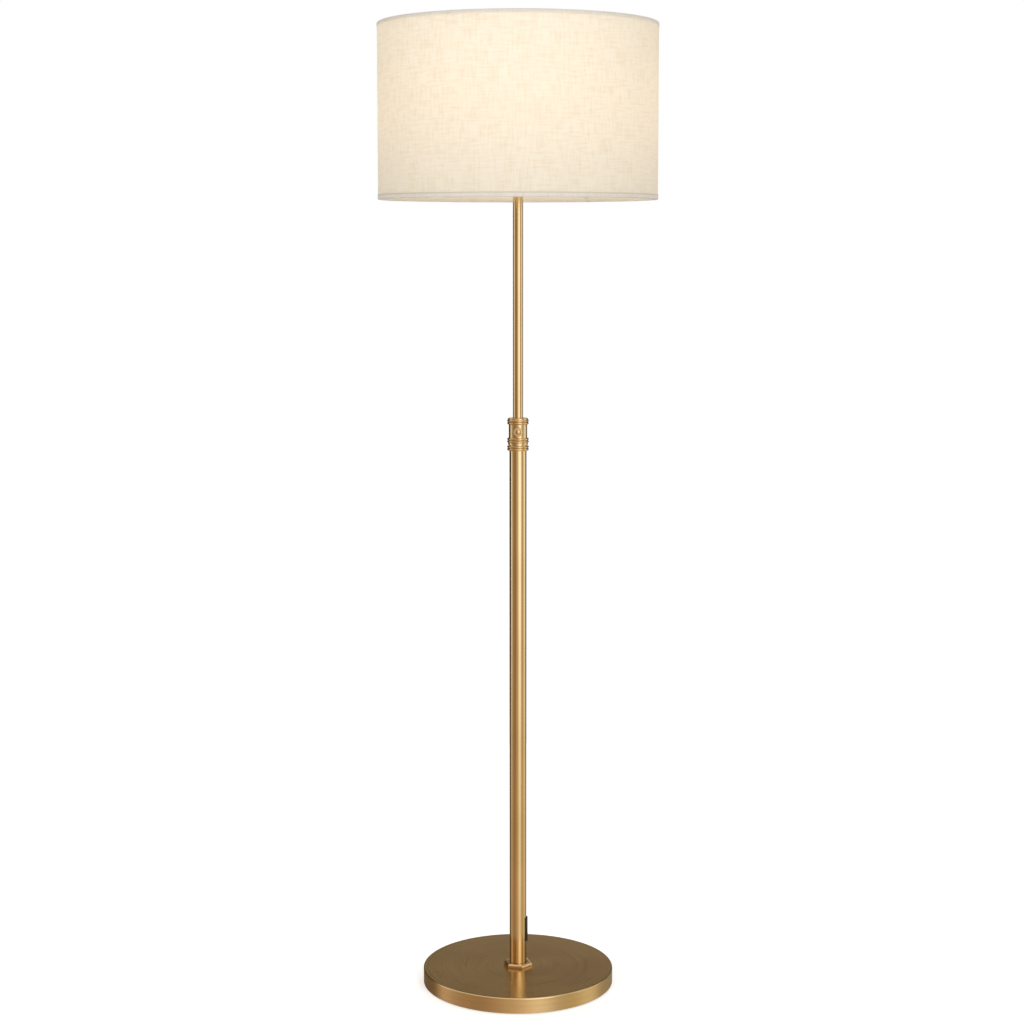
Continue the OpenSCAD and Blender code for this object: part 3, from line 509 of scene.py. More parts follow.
# White powder coat on wire: an even coat with a fine orange peel.
POWDER_COAT = GrainyFinish("white_powder_coat", "#ECE8E1", 0.4, grain_size=1.2 * MM, grain_depth=0.03 * MM,
                           dark="#D8D2C8", dark_share=0.4)
# Nickel plate on the bulb's rolled cap: a pale, slightly warm metal.
NICKEL = GrainyFinish("nickel_plated_cap", "#CFCDC8", 0.28, 1.0, grain_size=1.0 * MM, grain_depth=0.01 * MM,
                      stretch=(8, 8, 1), dark="#A7A49E", dark_share=0.4)
# Vitrite, the black glass fused into the bulb's cap.
VITRITE = GrainyFinish("fused_black_glass", "#121216", 0.15, grain_size=3 * MM, grain_depth=0.03 * MM,
                       dark="#050506", dark_share=0.4)
# Blown glass of the bulb and its stem.
GLASS = ClearGlass("blown_clear_glass", "#FFFFFF", 0.0, grain_size=14 * MM, grain_depth=0.02 * MM)
# The lit filaments.
PHOSPHOR = LitPhosphor("lit_phosphor_silicone", "#F2C46A", 0.6, grain_size=0.5 * MM, grain_depth=0.05 * MM,
                       dark="#D9A24A", dark_share=0.5)
# The shade's liner.
STYRENE = LinerSheet("matt_styrene_sheet", "#F8F5EE", 0.6, grain_size=1.2 * MM, grain_depth=0.02 * MM,
                     dark="#E9DEC8", dark_share=0.3)
# The shade's cloth, and its side that is bonded to the liner.
LINEN = WovenLinen("woven_slub_linen", "#F0ECE4", 0.85)
LINEN_BACK = replace(LINEN, name="woven_slub_linen_back", face=Face.BACK)
# Where the cloth's ends lap, it is doubled, and a little less light comes through.
LAP = WovenLinen("lapped_slub_linen", "#F0EADF", 0.85, through=0.3)
# The tape is the same linen on the bias, doubled over, so that less light comes through.
TAPE = WovenLinen("folded_linen_tape", "#EDE8DF", 0.88, thread=0.9 * MM, thread_depth=0.12 * MM,
                  slub_run=18 * MM, through=0.18)
TAPE_BACK = replace(TAPE, name="folded_linen_tape_back", face=Face.BACK)
# Where the tape's edge is turned under there are four layers, so that less light comes through; its colour is
# also painted darker, as painted shade along the edge, so that it looks like a darker line.
TAPE_FOLD_PAINTED_SHADE = replace(TAPE, name="turned_under_tape_painted_shade", colour="#DCD4C8", roughness=0.9, through=0.05)

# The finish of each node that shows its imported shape.
NODE_FINISHES: dict[Finish, tuple[str, ...]] = {
    TUBE_BRASS: ("lower_tube", "upper_tube"),
    TURNED_BRASS: ("base_cover", "foot_nut", "lower_collar_ring", "lock_collar", "end_ferrule",
                   "lampholder_cap"),
    ZINC: ("bottom_plate", "plate_screws", "clamp_nut", "clamp_washer", "foot_nipple", "tube_plug",
           "retaining_ring", "tube_coupler", "coupler_locknut", "filament_wires"),
    IRON: ("base_weight",),
    MOULDED_BLACK: ("cord_bushing", "lampholder_body", "shade_ring_nut"),
    NYLON: ("guide_bush", "pressure_pad", "stop_bush"),
    CONTACT: ("switch_terminals", "centre_contact", "holder_screws"),
    SHEATH: ("lower_lead", "upper_lead"),
    STEATITE: ("contact_block",),
    POWDER_COAT: ("spider_arms", "lower_ring", "upper_ring"),
    NICKEL: ("socket_shell", "bulb_cap", "bulb_contact"),
    VITRITE: ("bulb_insulator",),
    GLASS: ("bulb_glass", "bulb_stem"),
    PHOSPHOR: ("led_filaments",),
}


# ---------------------------------------------------------------- shaping


def arc(centre: tuple[float, float], radius: float, start: float, end: float, steps: int = 8) -> Outline:
    """Gives the points of an arc in a half section.

    Args:
        centre: its centre, as a radius and a height.
        radius: its radius.
        start: the angle of its first point, in degrees from the outward direction.
        end: the angle of its last point.
        steps: how many stretches it has.

    Returns:
        The points.
    """
    angles = [math.radians(start + (end - start) * i / steps) for i in range(steps + 1)]
    return [(centre[0] + radius * math.cos(a), centre[1] + radius * math.sin(a)) for a in angles]


def ribbon(path: Outline, thickness: float) -> Outline:
    """Gives a strip's closed section along a path.

    Args:
        path: the strip's middle line, as radii and heights.
        thickness: the strip's thickness.

    Returns:
        The points of the closed section.
    """
    points = [Vector(p) for p in path]
    sides: list[list[Vector]] = [[], []]
    for i, point in enumerate(points):
        run = (points[min(i + 1, len(points) - 1)] - points[max(i - 1, 0)]).normalized()
        normal = Vector((-run.y, run.x)) * thickness / 2
        sides[0].append(point + normal)
        sides[1].append(point - normal)
    return [tuple(p) for p in sides[0] + sides[1][::-1]]


def turned(section: Outline, steps: int = 128, start: float = 0.0, sweep: float = 360.0) -> Shape:
    """Turns a closed half section about the Z axis.

    Args:
        section: the closed section, as radii and heights.
        steps: how many stretches the turn has.
        start: the direction that the turn starts from, in degrees from +X.
        sweep: how far it goes, in degrees. Less than 360 gives closed ends.

    Returns:
        The solid.
    """
    shape = bmesh.new()
    corners = [shape.verts.new((r, 0, z)) for r, z in section]
    face = shape.faces.new(corners)
    full = sweep >= 360
    geometry = list(face.edges) if full else [face, *face.edges, *face.verts]
    turn = math.radians(start)
    bmesh.ops.rotate(shape, verts=shape.verts, cent=(0, 0, 0), matrix=Matrix.Rotation(turn, 3, "Z"))
    if full:
        bmesh.ops.delete(shape, geom=[face], context="FACES_ONLY")
    bmesh.ops.spin(shape, geom=geometry, cent=(0, 0, 0), axis=UP, angle=math.radians(sweep), steps=steps,
                   use_merge=full, use_duplicate=False)
    bmesh.ops.remove_doubles(shape, verts=shape.verts, dist=1e-6)
    bmesh.ops.recalc_face_normals(shape, faces=shape.faces)
    return shape


def roll_out(shape: Shape, radius: float) -> None:
    """Gives a turned shape a UV map in metres: round the axis, and up.

    Args:
        shape: the shape.
        radius: the radius at which a metre round the axis is a metre on the map.
    """
    layer = shape.loops.layers.uv.new(FLAT_MAP)
    for face in shape.faces:
        centre = face.calc_center_median()
        middle = math.atan2(centre.y, centre.x)
        for loop in face.loops:
            at = loop.vert.co
            lean = math.atan2(at.y, at.x) - middle
            lean -= 2 * math.pi * round(lean / (2 * math.pi))
            loop[layer].uv = (radius * (middle + lean), at.z)


def to_piece(shape: Shape, name: str, finish: Finish, body: str,
             crease: float = 35.0) -> Piece:
    """Makes a shape a dressed piece that rides on a body.

    Args:
        shape: the shape, in the row frame. It is used up.
        name: the piece's name.
        finish: its finish.
        body: the body that it rides on.
        crease: the angle between faces, in degrees, past which an edge stays sharp.

    Returns:
        The piece.
    """
    mesh = bpy.data.meshes.new(name)
    shape.to_mesh(mesh)
    shape.free()
    mesh.shade_smooth()
    mesh.set_sharp_from_angle(angle=math.radians(crease))
    mesh.materials.append(finish.material())
    piece = bpy.data.objects.new(name, mesh)
    bpy.context.scene.collection.objects.link(piece)
    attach(piece, body)
    log.info("%s: %d faces, %s, rides on %s", name, len(mesh.polygons), finish.name, body)
    return piece


def join(shape: Shape, other: Shape) -> None:
    """Adds another shape to a shape, as a shell of its own.

    Args:
        shape: the shape that grows.
        other: the shape that is added. It is used up.
    """
    carried = bpy.data.meshes.new("carried")
    other.to_mesh(carried)
    other.free()
    shape.from_mesh(carried)
    bpy.data.meshes.remove(carried)


def rounded_box(low: Vector, high: Vector, radius: float, segments: int = 3) -> Shape:
    """Makes a box with rounded edges.

    Args:
        low: its lowest corner.
        high: its highest corner.
        radius: the rounding of its edges.
        segments: how many stretches a rounding has.

    Returns:
        The box.
    """
    shape = bmesh.new()
    size = high - low
    place = Matrix.Translation((low + high) / 2) @ Matrix.Diagonal((*size, 1))
    bmesh.ops.create_cube(shape, size=1, matrix=place)
    bmesh.ops.bevel(shape, geom=shape.edges[:], offset=radius, offset_type="OFFSET", affect="EDGES",
                    segments=segments, profile=0.5, material=-1, clamp_overlap=True)
    return shape


# ---------------------------------------------------------------- sub-assemblies


@dataclass
class FootPad:
    """The foam disc under the base."""

    edge_r: float = 0.8 * MM
    steps: int = 160

    def build(self) -> None:
        """Makes the pad, with a soft edge all round."""
        low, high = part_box("base_pad")
        r, top = high.x, high.z
        edge = self.edge_r
        section = [(0, low.z), *arc((r - edge, low.z + edge), edge, -90, 0, 5),
                   *arc((r - edge, top - edge), edge, 0, 90, 5), (0, top)]
        pad = to_piece(turned(section, self.steps), "foam_foot_pad", FOAM, "stand")
        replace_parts(pad, "base_pad")


@dataclass
class RockerSwitch:
    """The switch on the lower tube: a frame with a rocker in it."""

    edge_r: float = 0.7 * MM
    rim: float = 1.6 * MM
    # The frame's floor stays just above the tube's wall, whose slot is shorter than the opening.
    sunk: float = 1.85 * MM
    # The body behind the frame: half its width and height, and the rounding of its edges.
    body_half: tuple[float, float] = (5.9 * MM, 14.9 * MM)
    body_r: float = 0.4 * MM
    # How far inside the tube's surface the body ends and the frame starts.
    body_depth: float = 3 * MM
    frame_depth: float = 4 * MM
    # The rocker's axis lies this far under the frame's face. The bar's measures start from it.
    axis_depth: float = 3.9 * MM
    bar_foot: float = 2.2 * MM
    bar_top: float = 2.7 * MM
    bar_half: float = 10.6 * MM
    bar_r: float = 0.5 * MM
    bar_cuts: int = 12
    # How much shorter the bar is than its pins, at either end.
    pin_reach: float = 1 * MM
    rocker_tilt: float = math.radians(6)
    dish: float = 0.9 * MM
    # The middle goes down by this share of the dish, and the underside comes up by this at its ends.
    dish_share: float = 0.35
    keel: float = 1.9 * MM
    grip_lines: int = 5
    first_line: float = 2.0 * MM
    line_pitch: float = 1.1 * MM
    line_inset: float = 1.2 * MM
    line_sunk: float = 0.3 * MM
    line_proud: float = 0.22 * MM
    line_half: float = 0.25 * MM
    line_r: float = 0.12 * MM
    pin_r: float = 1 * MM
    pin_sides: int = 24

    def frame_piece(self) -> Piece:
        """Makes the frame and the body behind it.

        Returns:
            The piece.
        """
        low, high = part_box("switch_housing")
        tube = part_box("lower_tube")[1].x
        rocker_low, rocker_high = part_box("switch_rocker")
        shape = rounded_box(Vector((tube - self.frame_depth, low.y, low.z)), high, self.edge_r)
        front = max(shape.faces, key=lambda f: f.calc_center_median().x + f.calc_area())
        border = (high.y - low.y) / 2 - (rocker_high.y - rocker_low.y) / 2
        bmesh.ops.inset_region(shape, faces=[front], thickness=max(border, self.rim), use_even_offset=True)
        floor = bmesh.ops.extrude_face_region(shape, geom=[front])
        moved = [v for v in floor["geom"] if isinstance(v, bmesh.types.BMVert)]
        bmesh.ops.translate(shape, verts=moved, vec=(-self.sunk, 0, 0))
        bmesh.ops.delete(shape, geom=[front], context="FACES_ONLY")
        centre, half = (low + high) / 2, Vector((0, *self.body_half))
        foot, top = centre - half, centre + half
        foot.x, top.x = low.x, tube - self.body_depth
        join(shape, rounded_box(foot, top, self.body_r))
        bmesh.ops.recalc_face_normals(shape, faces=shape.faces)
        return to_piece(shape, "switch_frame", MOULDED_BLACK, "stand", crease=40)

    def rocker_piece(self) -> Piece:
        """Makes the rocker: a dished bar with ribs at its ends.

        Returns:
            The piece.
        """
        low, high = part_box("switch_rocker")
        axis = Vector((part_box("switch_housing")[1].x - self.axis_depth, 0, (low.z + high.z) / 2))
        half_y, half_z = (high.y - low.y) / 2 - self.pin_reach, self.bar_half
        shape = rounded_box(Vector((-self.bar_foot, -half_y, -half_z)),
                            Vector((self.bar_top, half_y, half_z)), self.bar_r)
        long_edges = [edge for edge in shape.edges if edge.calc_length() > half_z]
        bmesh.ops.subdivide_edges(shape, edges=long_edges, cuts=self.bar_cuts, use_grid_fill=True)
        for vert in shape.verts:
            share = abs(vert.co.z) / half_z
            vert.co.x += self.dish * (share * share - self.dish_share) if vert.co.x > 0 else self.keel * share
        for end in (-1, 1):
            for line in range(self.grip_lines):
                at = end * (half_z - self.first_line - self.line_pitch * line)
                out = self.bar_top + self.dish * ((at / half_z) ** 2 - self.dish_share)
                side = half_y - self.line_inset
                foot = Vector((out - self.line_sunk, -side, at - self.line_half))
                top = Vector((out + self.line_proud, side, at + self.line_half))
                join(shape, rounded_box(foot, top, self.line_r, 2))
        pin = bmesh.new()
        bmesh.ops.create_cone(pin, cap_ends=True, segments=self.pin_sides, radius1=self.pin_r,
                              radius2=self.pin_r, depth=high.y - low.y,
                              matrix=Matrix.Rotation(math.pi / 2, 4, "X"))
        join(shape, pin)
        place = Matrix.Translation(axis) @ Matrix.Rotation(-self.rocker_tilt, 4, "Y")
        bmesh.ops.transform(shape, matrix=place, verts=shape.verts)
        return to_piece(shape, "rocker", GLOSS_BLACK, "rocker", crease=50)

    def build(self) -> None:
        """Makes the frame and the rocker."""
        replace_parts(self.frame_piece(), "switch_housing")
        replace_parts(self.rocker_piece(), "switch_rocker")


@dataclass
class Thumbscrew:
    """The screw in the lock collar, turned about an axis that points at -Y."""

    shank_r: float = 2.5 * MM
    neck_r: float = 4.2 * MM
    neck_h: float = 2.4 * MM
    head_h: float = 5.0 * MM
    boss_r: float = 4.4 * MM
    boss_h: float = 1.6 * MM
    edge: float = 0.7 * MM
    neck_edge: float = 0.3 * MM
    tip_chamfer: float = 0.5 * MM
    runout: float = 0.2 * MM
    # The groove round the boss: its outer and inner edges, out from the boss, and its depth.
    groove: tuple[float, float] = (0.3 * MM, 0.1 * MM)
    groove_depth: float = 0.25 * MM
    knurl_ridges: int = 48
    # The share of the head's rounding, inwards, that the knurl reaches.
    knurl_share: float = 0.6
    knurl_depth: float = 0.2 * MM
    thread_pitch: float = 0.8 * MM
    thread_depth: float = 0.4 * MM
    # Where the first crest is, as a share of the pitch. The root follows half a pitch on.
    thread_start: float = 0.6

    def build(self) -> None:
        """Turns the screw, cuts its knurl and lays it on its side."""
        low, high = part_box("thumbscrew")
        centre_z, head_r = (low.z + high.z) / 2, (high.z - low.z) / 2
        tip, end = -high.y, -low.y
        boss_foot = end - self.boss_h
        head_foot = boss_foot - self.head_h
        neck_foot = head_foot - self.neck_h
        dome_r = (self.boss_r ** 2 + self.boss_h ** 2) / (2 * self.boss_h)
        lean = math.degrees(math.asin(self.boss_r / dome_r))
        dome = arc((0, end - dome_r), dome_r, 90 - lean, 90, 8)
        threads = int((neck_foot - tip) / self.thread_pitch) - 1
        root_r = self.shank_r - self.thread_depth
        thread = [point for i in range(threads) for point in
                  ((self.shank_r, tip + (i + self.thread_start) * self.thread_pitch),
                   (root_r, tip + (i + self.thread_start + 0.5) * self.thread_pitch))]
        neck = (self.neck_r - self.neck_edge, neck_foot + self.neck_edge)
        rim_r = head_r - self.edge
        head_low, head_high = (rim_r, head_foot + self.edge), (rim_r, boss_foot - self.edge)
        section = [(0, tip), (self.shank_r - self.tip_chamfer, tip), *thread,
                   (self.shank_r, neck_foot - self.runout), (self.shank_r, neck_foot),
                   *arc(neck, self.neck_edge, -90, 0, 3), (self.neck_r, head_foot),
                   *arc(head_low, self.edge, -90, 0, 5), *arc(head_high, self.edge, 0, 90, 5),
                   (self.boss_r + self.groove[0], boss_foot),
                   (self.boss_r + self.groove[1], boss_foot - self.groove_depth), *dome]
        steps = 4 * self.knurl_ridges
        shape = turned(section, steps)
        for vert in shape.verts:
            reach = math.hypot(vert.co.x, vert.co.y)
            if reach > head_r - self.edge * self.knurl_share:
                place = math.atan2(vert.co.y, vert.co.x) * self.knurl_ridges
                cut = self.knurl_depth * (0.5 - 0.5 * math.cos(place))
                vert.co.xy *= (reach - cut) / reach
        lay = Matrix.Translation((0, 0, centre_z)) @ Matrix.Rotation(math.pi / 2, 4, "X")
        bmesh.ops.transform(shape, matrix=lay, verts=shape.verts)
        screw = to_piece(shape, "knurled_thumbscrew", SCREW_BRASS, "screw")
        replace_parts(screw, "thumbscrew")


@dataclass
class SlackLead:
    """The curled lead in the lower tube, which pays out as the pole rises."""

    lead_d: float = 5.6 * MM
    pitch: float = 13 * MM
    steps_a_turn: int = 16
    sides: int = 10
    # The share of its height that is left with the pole all the way down.
    keep: float = 0.42

    def build(self) -> None:
        """Winds the curls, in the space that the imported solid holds."""
        low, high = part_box("slack_lead")
        curl_r = high.x - self.lead_d / 2
        rise = high.z - low.z - self.lead_d
        turns = int(rise / self.pitch)
        shape = bmesh.new()
        lead_r = self.lead_d / 2
        start = Matrix.Translation((curl_r, 0, low.z + lead_r)) @ Matrix.Rotation(math.pi / 2, 4, "X")
        bmesh.ops.create_circle(shape, cap_ends=True, segments=self.sides, radius=lead_r, matrix=start)
        steps = turns * self.steps_a_turn
        bmesh.ops.spin(shape, geom=shape.verts[:] + shape.edges[:] + shape.faces[:], cent=(0, 0, 0), axis=UP,
                       dvec=(0, 0, rise / steps), angle=2 * math.pi * turns, steps=steps)
        bmesh.ops.recalc_face_normals(shape, faces=shape.faces)
        lead = to_piece(shape, "curled_slack_lead", SHEATH, "stand")
        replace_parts(lead, "slack_lead")
        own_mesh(lead)


@dataclass
class DrumShade:
    """The shade: linen bonded to a stiff liner, with a tape folded round each edge."""

    steps: int = 180
    # The lap covers this many of the drum's steps.
    lap_steps: int = 2
    lap_t: float = 0.35 * MM
    lap_edge: float = 0.1 * MM
    lap_cuts: int = 6
    glue_t: float = 0.05 * MM
    tape_t: float = 0.45 * MM
    fold_r: float = 1.0 * MM
    # The inner leg's end rolls back at this radius, from this far above the fold.
    roll_r: float = 1.2 * MM
    roll_z: float = 3.2 * MM
    turn_under: float = 1.8 * MM
    turn_proud: float = 0.25 * MM
    turn_gap: float = 0.02 * MM
    turn_bevel: float = 0.15 * MM
    turn_slope: float = 0.4 * MM
    slit_half: float = 3.5 * MM
    flap_steps: int = 58
    arm_angles: tuple[float, ...] = (57.0, 177.0, 297.0)
    seam_angle: float = 90.0

    def linen(self) -> Piece:
        """Makes the linen drum, with the back of its cloth against the liner.

        Returns:
            The piece.
        """
        low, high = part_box("shade_linen")
        liner_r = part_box("shade_liner")[1].x
        inner, outer = liner_r + self.glue_t, high.x
        foot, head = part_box("bottom_tape")[1].z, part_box("top_tape")[0].z
        section = [(inner, low.z), *((outer, z) for z in (low.z, foot, head, high.z)), (inner, high.z)]
        shape = turned(section, self.steps)
        roll_out(shape, outer)
        middle = (inner + outer) / 2
        seam = math.radians(self.seam_angle)
        lap_way = Vector((math.cos(seam), math.sin(seam)))
        lap_half = math.radians(self.lap_steps * 360 / self.steps / 2)

        def covered(centre: Vector) -> bool:
            """Tells whether a face is bonded to the liner, or lies under a tape or the lap."""
            taped = not foot < centre.z < head
            return centre.xy.length < middle or taped or centre.xy.angle(lap_way) < lap_half

        cloth = to_piece(shape, "linen_drum", LINEN, "head")
        self.let_light_pass(cloth, LINEN_BACK, covered)
        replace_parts(cloth, "shade_linen")
        return cloth

    def let_light_pass(self, piece: Piece, back: WovenLinen, covered: Callable[[Vector], bool]) -> None:
        """Gives the faces that another layer of the cloth covers the back of its finish.

        Args:
            piece: the piece.
            back: the finish of its covered faces.
            covered: tells from a face's centre whether the face is covered.
        """
        piece.data.materials.append(back.material())
        for face in piece.data.polygons:
            if covered(face.center):
                face.material_index = 1

    def seam(self) -> Piece:
        """Makes the lap at the back of the shade, where the cloth's end is turned in and glued.

        Returns:
            The piece.
        """
        linen_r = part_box("shade_linen")[1].x
        foot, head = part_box("bottom_tape")[1].z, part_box("top_tape")[0].z
        reach = self.lap_steps * 360 / self.steps
        edge = self.lap_edge
        inner, outer = linen_r - edge, linen_r + self.lap_t
        section = [(inner, foot), *arc((outer - edge, foot + edge), edge, -90, 0, 2), (outer, head),
                   (inner, head)]
        shape = turned(section, self.lap_cuts, self.seam_angle - reach / 2, reach)
        roll_out(shape, linen_r)
        lap = to_piece(shape, "linen_lap", LAP, "head")
        self.let_light_pass(lap, LINEN_BACK, lambda centre: centre.xy.length < linen_r)
        return lap

    def tape(self, node: str, name: str, slits: bool) -> Piece:
        """Makes a tape that is folded round an edge of the shade and over the wire ring in it.

        Args:
            node: the tape's node.
            name: the piece's name.
            slits: True if the tape's inner leg is slit where the arms pass.

        Returns:
            The piece.
        """
        low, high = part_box(node)
        linen_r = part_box("shade_linen")[1].x
        ring_low, ring_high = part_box("lower_ring" if slits else "upper_ring")
        wire_r = (ring_high.z - ring_low.z) / 2
        ring_r = ring_high.x - wire_r
        half = self.tape_t / 2
        outer, fold = linen_r + half, self.fold_r
        height = high.z - low.z
        # The section is worked out for the bottom tape, from its fold up.
        inner = ring_r - wire_r - self.tape_t
        outer_fold = arc((outer - fold, half + fold), fold, 0, -90, 5)
        outer_leg = [(outer, height), (outer, height * 0.5), *outer_fold]
        inner_foot = arc((inner + fold, half + fold), fold, -90, -180, 5)
        inner_leg = [(inner, self.roll_z), *arc((inner + self.roll_r, self.roll_z), self.roll_r, 180, 110, 4)]
        if slits:
            shape = turned(ribbon([*outer_leg, *inner_foot[:3]], self.tape_t), self.steps)
            slit = math.degrees(self.slit_half / inner)
            sweep = 360 / len(self.arm_angles) - 2 * slit
            flap = ribbon([*inner_foot[1:], *inner_leg], self.tape_t)
            for angle in self.arm_angles:
                join(shape, turned(flap, self.flap_steps, angle + slit, sweep))
        else:
            shape = turned(ribbon([*outer_leg, *inner_foot, *inner_leg], self.tape_t), self.steps)
        if slits:
            bmesh.ops.translate(shape, verts=shape.verts, vec=(0, 0, low.z))
        else:
            bmesh.ops.scale(shape, vec=(1, 1, -1), verts=shape.verts)
            bmesh.ops.translate(shape, verts=shape.verts, vec=(0, 0, high.z))
            bmesh.ops.recalc_face_normals(shape, faces=shape.faces)
        roll_out(shape, outer)
        tape = to_piece(shape, name, TAPE, "head", crease=50)
        self.let_light_pass(tape, TAPE_BACK,
                            lambda centre: outer - self.tape_t < centre.xy.length < outer - self.tape_t / 4)
        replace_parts(tape, node)
        return tape

    def turned_edge(self) -> Piece:
        """Makes the turned-under upper edge of the bottom tape, which stands a little proud.

        Returns:
            The piece.
        """
        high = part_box("bottom_tape")[1]
        linen_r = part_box("shade_linen")[1].x
        foot, head = high.z - self.turn_under, high.z
        proud = linen_r + self.tape_t + self.turn_proud
        inner, bevel, slope = linen_r + self.turn_gap, proud - self.turn_bevel, self.turn_slope
        section = [(inner, foot), (bevel, foot), (proud, foot + slope), (proud, head - slope), (bevel, head),
                   (inner, head)]
        shape = turned(section, self.steps)
        roll_out(shape, proud)
        # This finish carries painted shade: a colour darker than the tape's, along the tape's turned-under
        # edge.
        return to_piece(shape, "bottom_tape_turned_edge", TAPE_FOLD_PAINTED_SHADE, "head")

    def liner(self) -> None:
        """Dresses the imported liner, which lets the lamp's light pass on its way to the linen."""
        liner = frame["nodes"]["shade_liner"]
        liner.material_slots[0].material = STYRENE.material()
        liner.visible_shadow = False

    def build(self) -> None:
        self.liner()
        cloth, lap, edge = self.linen(), self.seam(), self.turned_edge()
        tapes = [self.tape("bottom_tape", "bottom_hem_tape", True),
                 self.tape("top_tape", "top_hem_tape", False)]


@dataclass
class LightBulb:
    """The bulb's own light, and the glass that it passes."""

    power: float = 0.65
    light_colour: str = "#FFF3DB"
    spread: float = 18 * MM

    def build(self) -> None:
        """Puts a lamp in the glass, unseen itself. What stands in its way in the glass throws no shadow."""
        for name in ("bulb_glass", "bulb_stem", "filament_wires", "led_filaments"):
            frame["nodes"][name].visible_shadow = False
        low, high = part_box("led_filaments")
        data = bpy.data.lights.new("bulb_light", "POINT")
        data.energy = self.power
        data.color = linear(self.light_colour)[:3]
        data.shadow_soft_size = self.spread
        lamp = bpy.data.objects.new("bulb_light", data)
        lamp.location = (low + high) / 2
        lamp.visible_camera = lamp.visible_glossy = lamp.visible_transmission = False
        bpy.context.scene.collection.objects.link(lamp)
        lamp.parent = frame["bodies"]["head"]


def dress_nodes() -> None:
    """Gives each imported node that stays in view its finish."""
    for finish, nodes in NODE_FINISHES.items():
        for name in nodes:
            for slot in frame["nodes"][name].material_slots:
                slot.material = finish.material()
        log.info("%s: %s", finish.name, ", ".join(nodes))


# ---------------------------------------------------------------- studio


@dataclass(frozen=True)
class Stretch:
    """A direction round the lamp, and how bright the metal sees the backdrop there.

    Directions are in degrees, from the camera's side, with the camera's right as positive.
    """

    direction: float
    level: float
    tint: str = "#FFFFFF"


@dataclass(frozen=True)
class AreaLamp:
    """A soft area lamp that points at the lamp's middle."""

    name: str
    place: tuple[float, float, float]
    size: float
    share: float


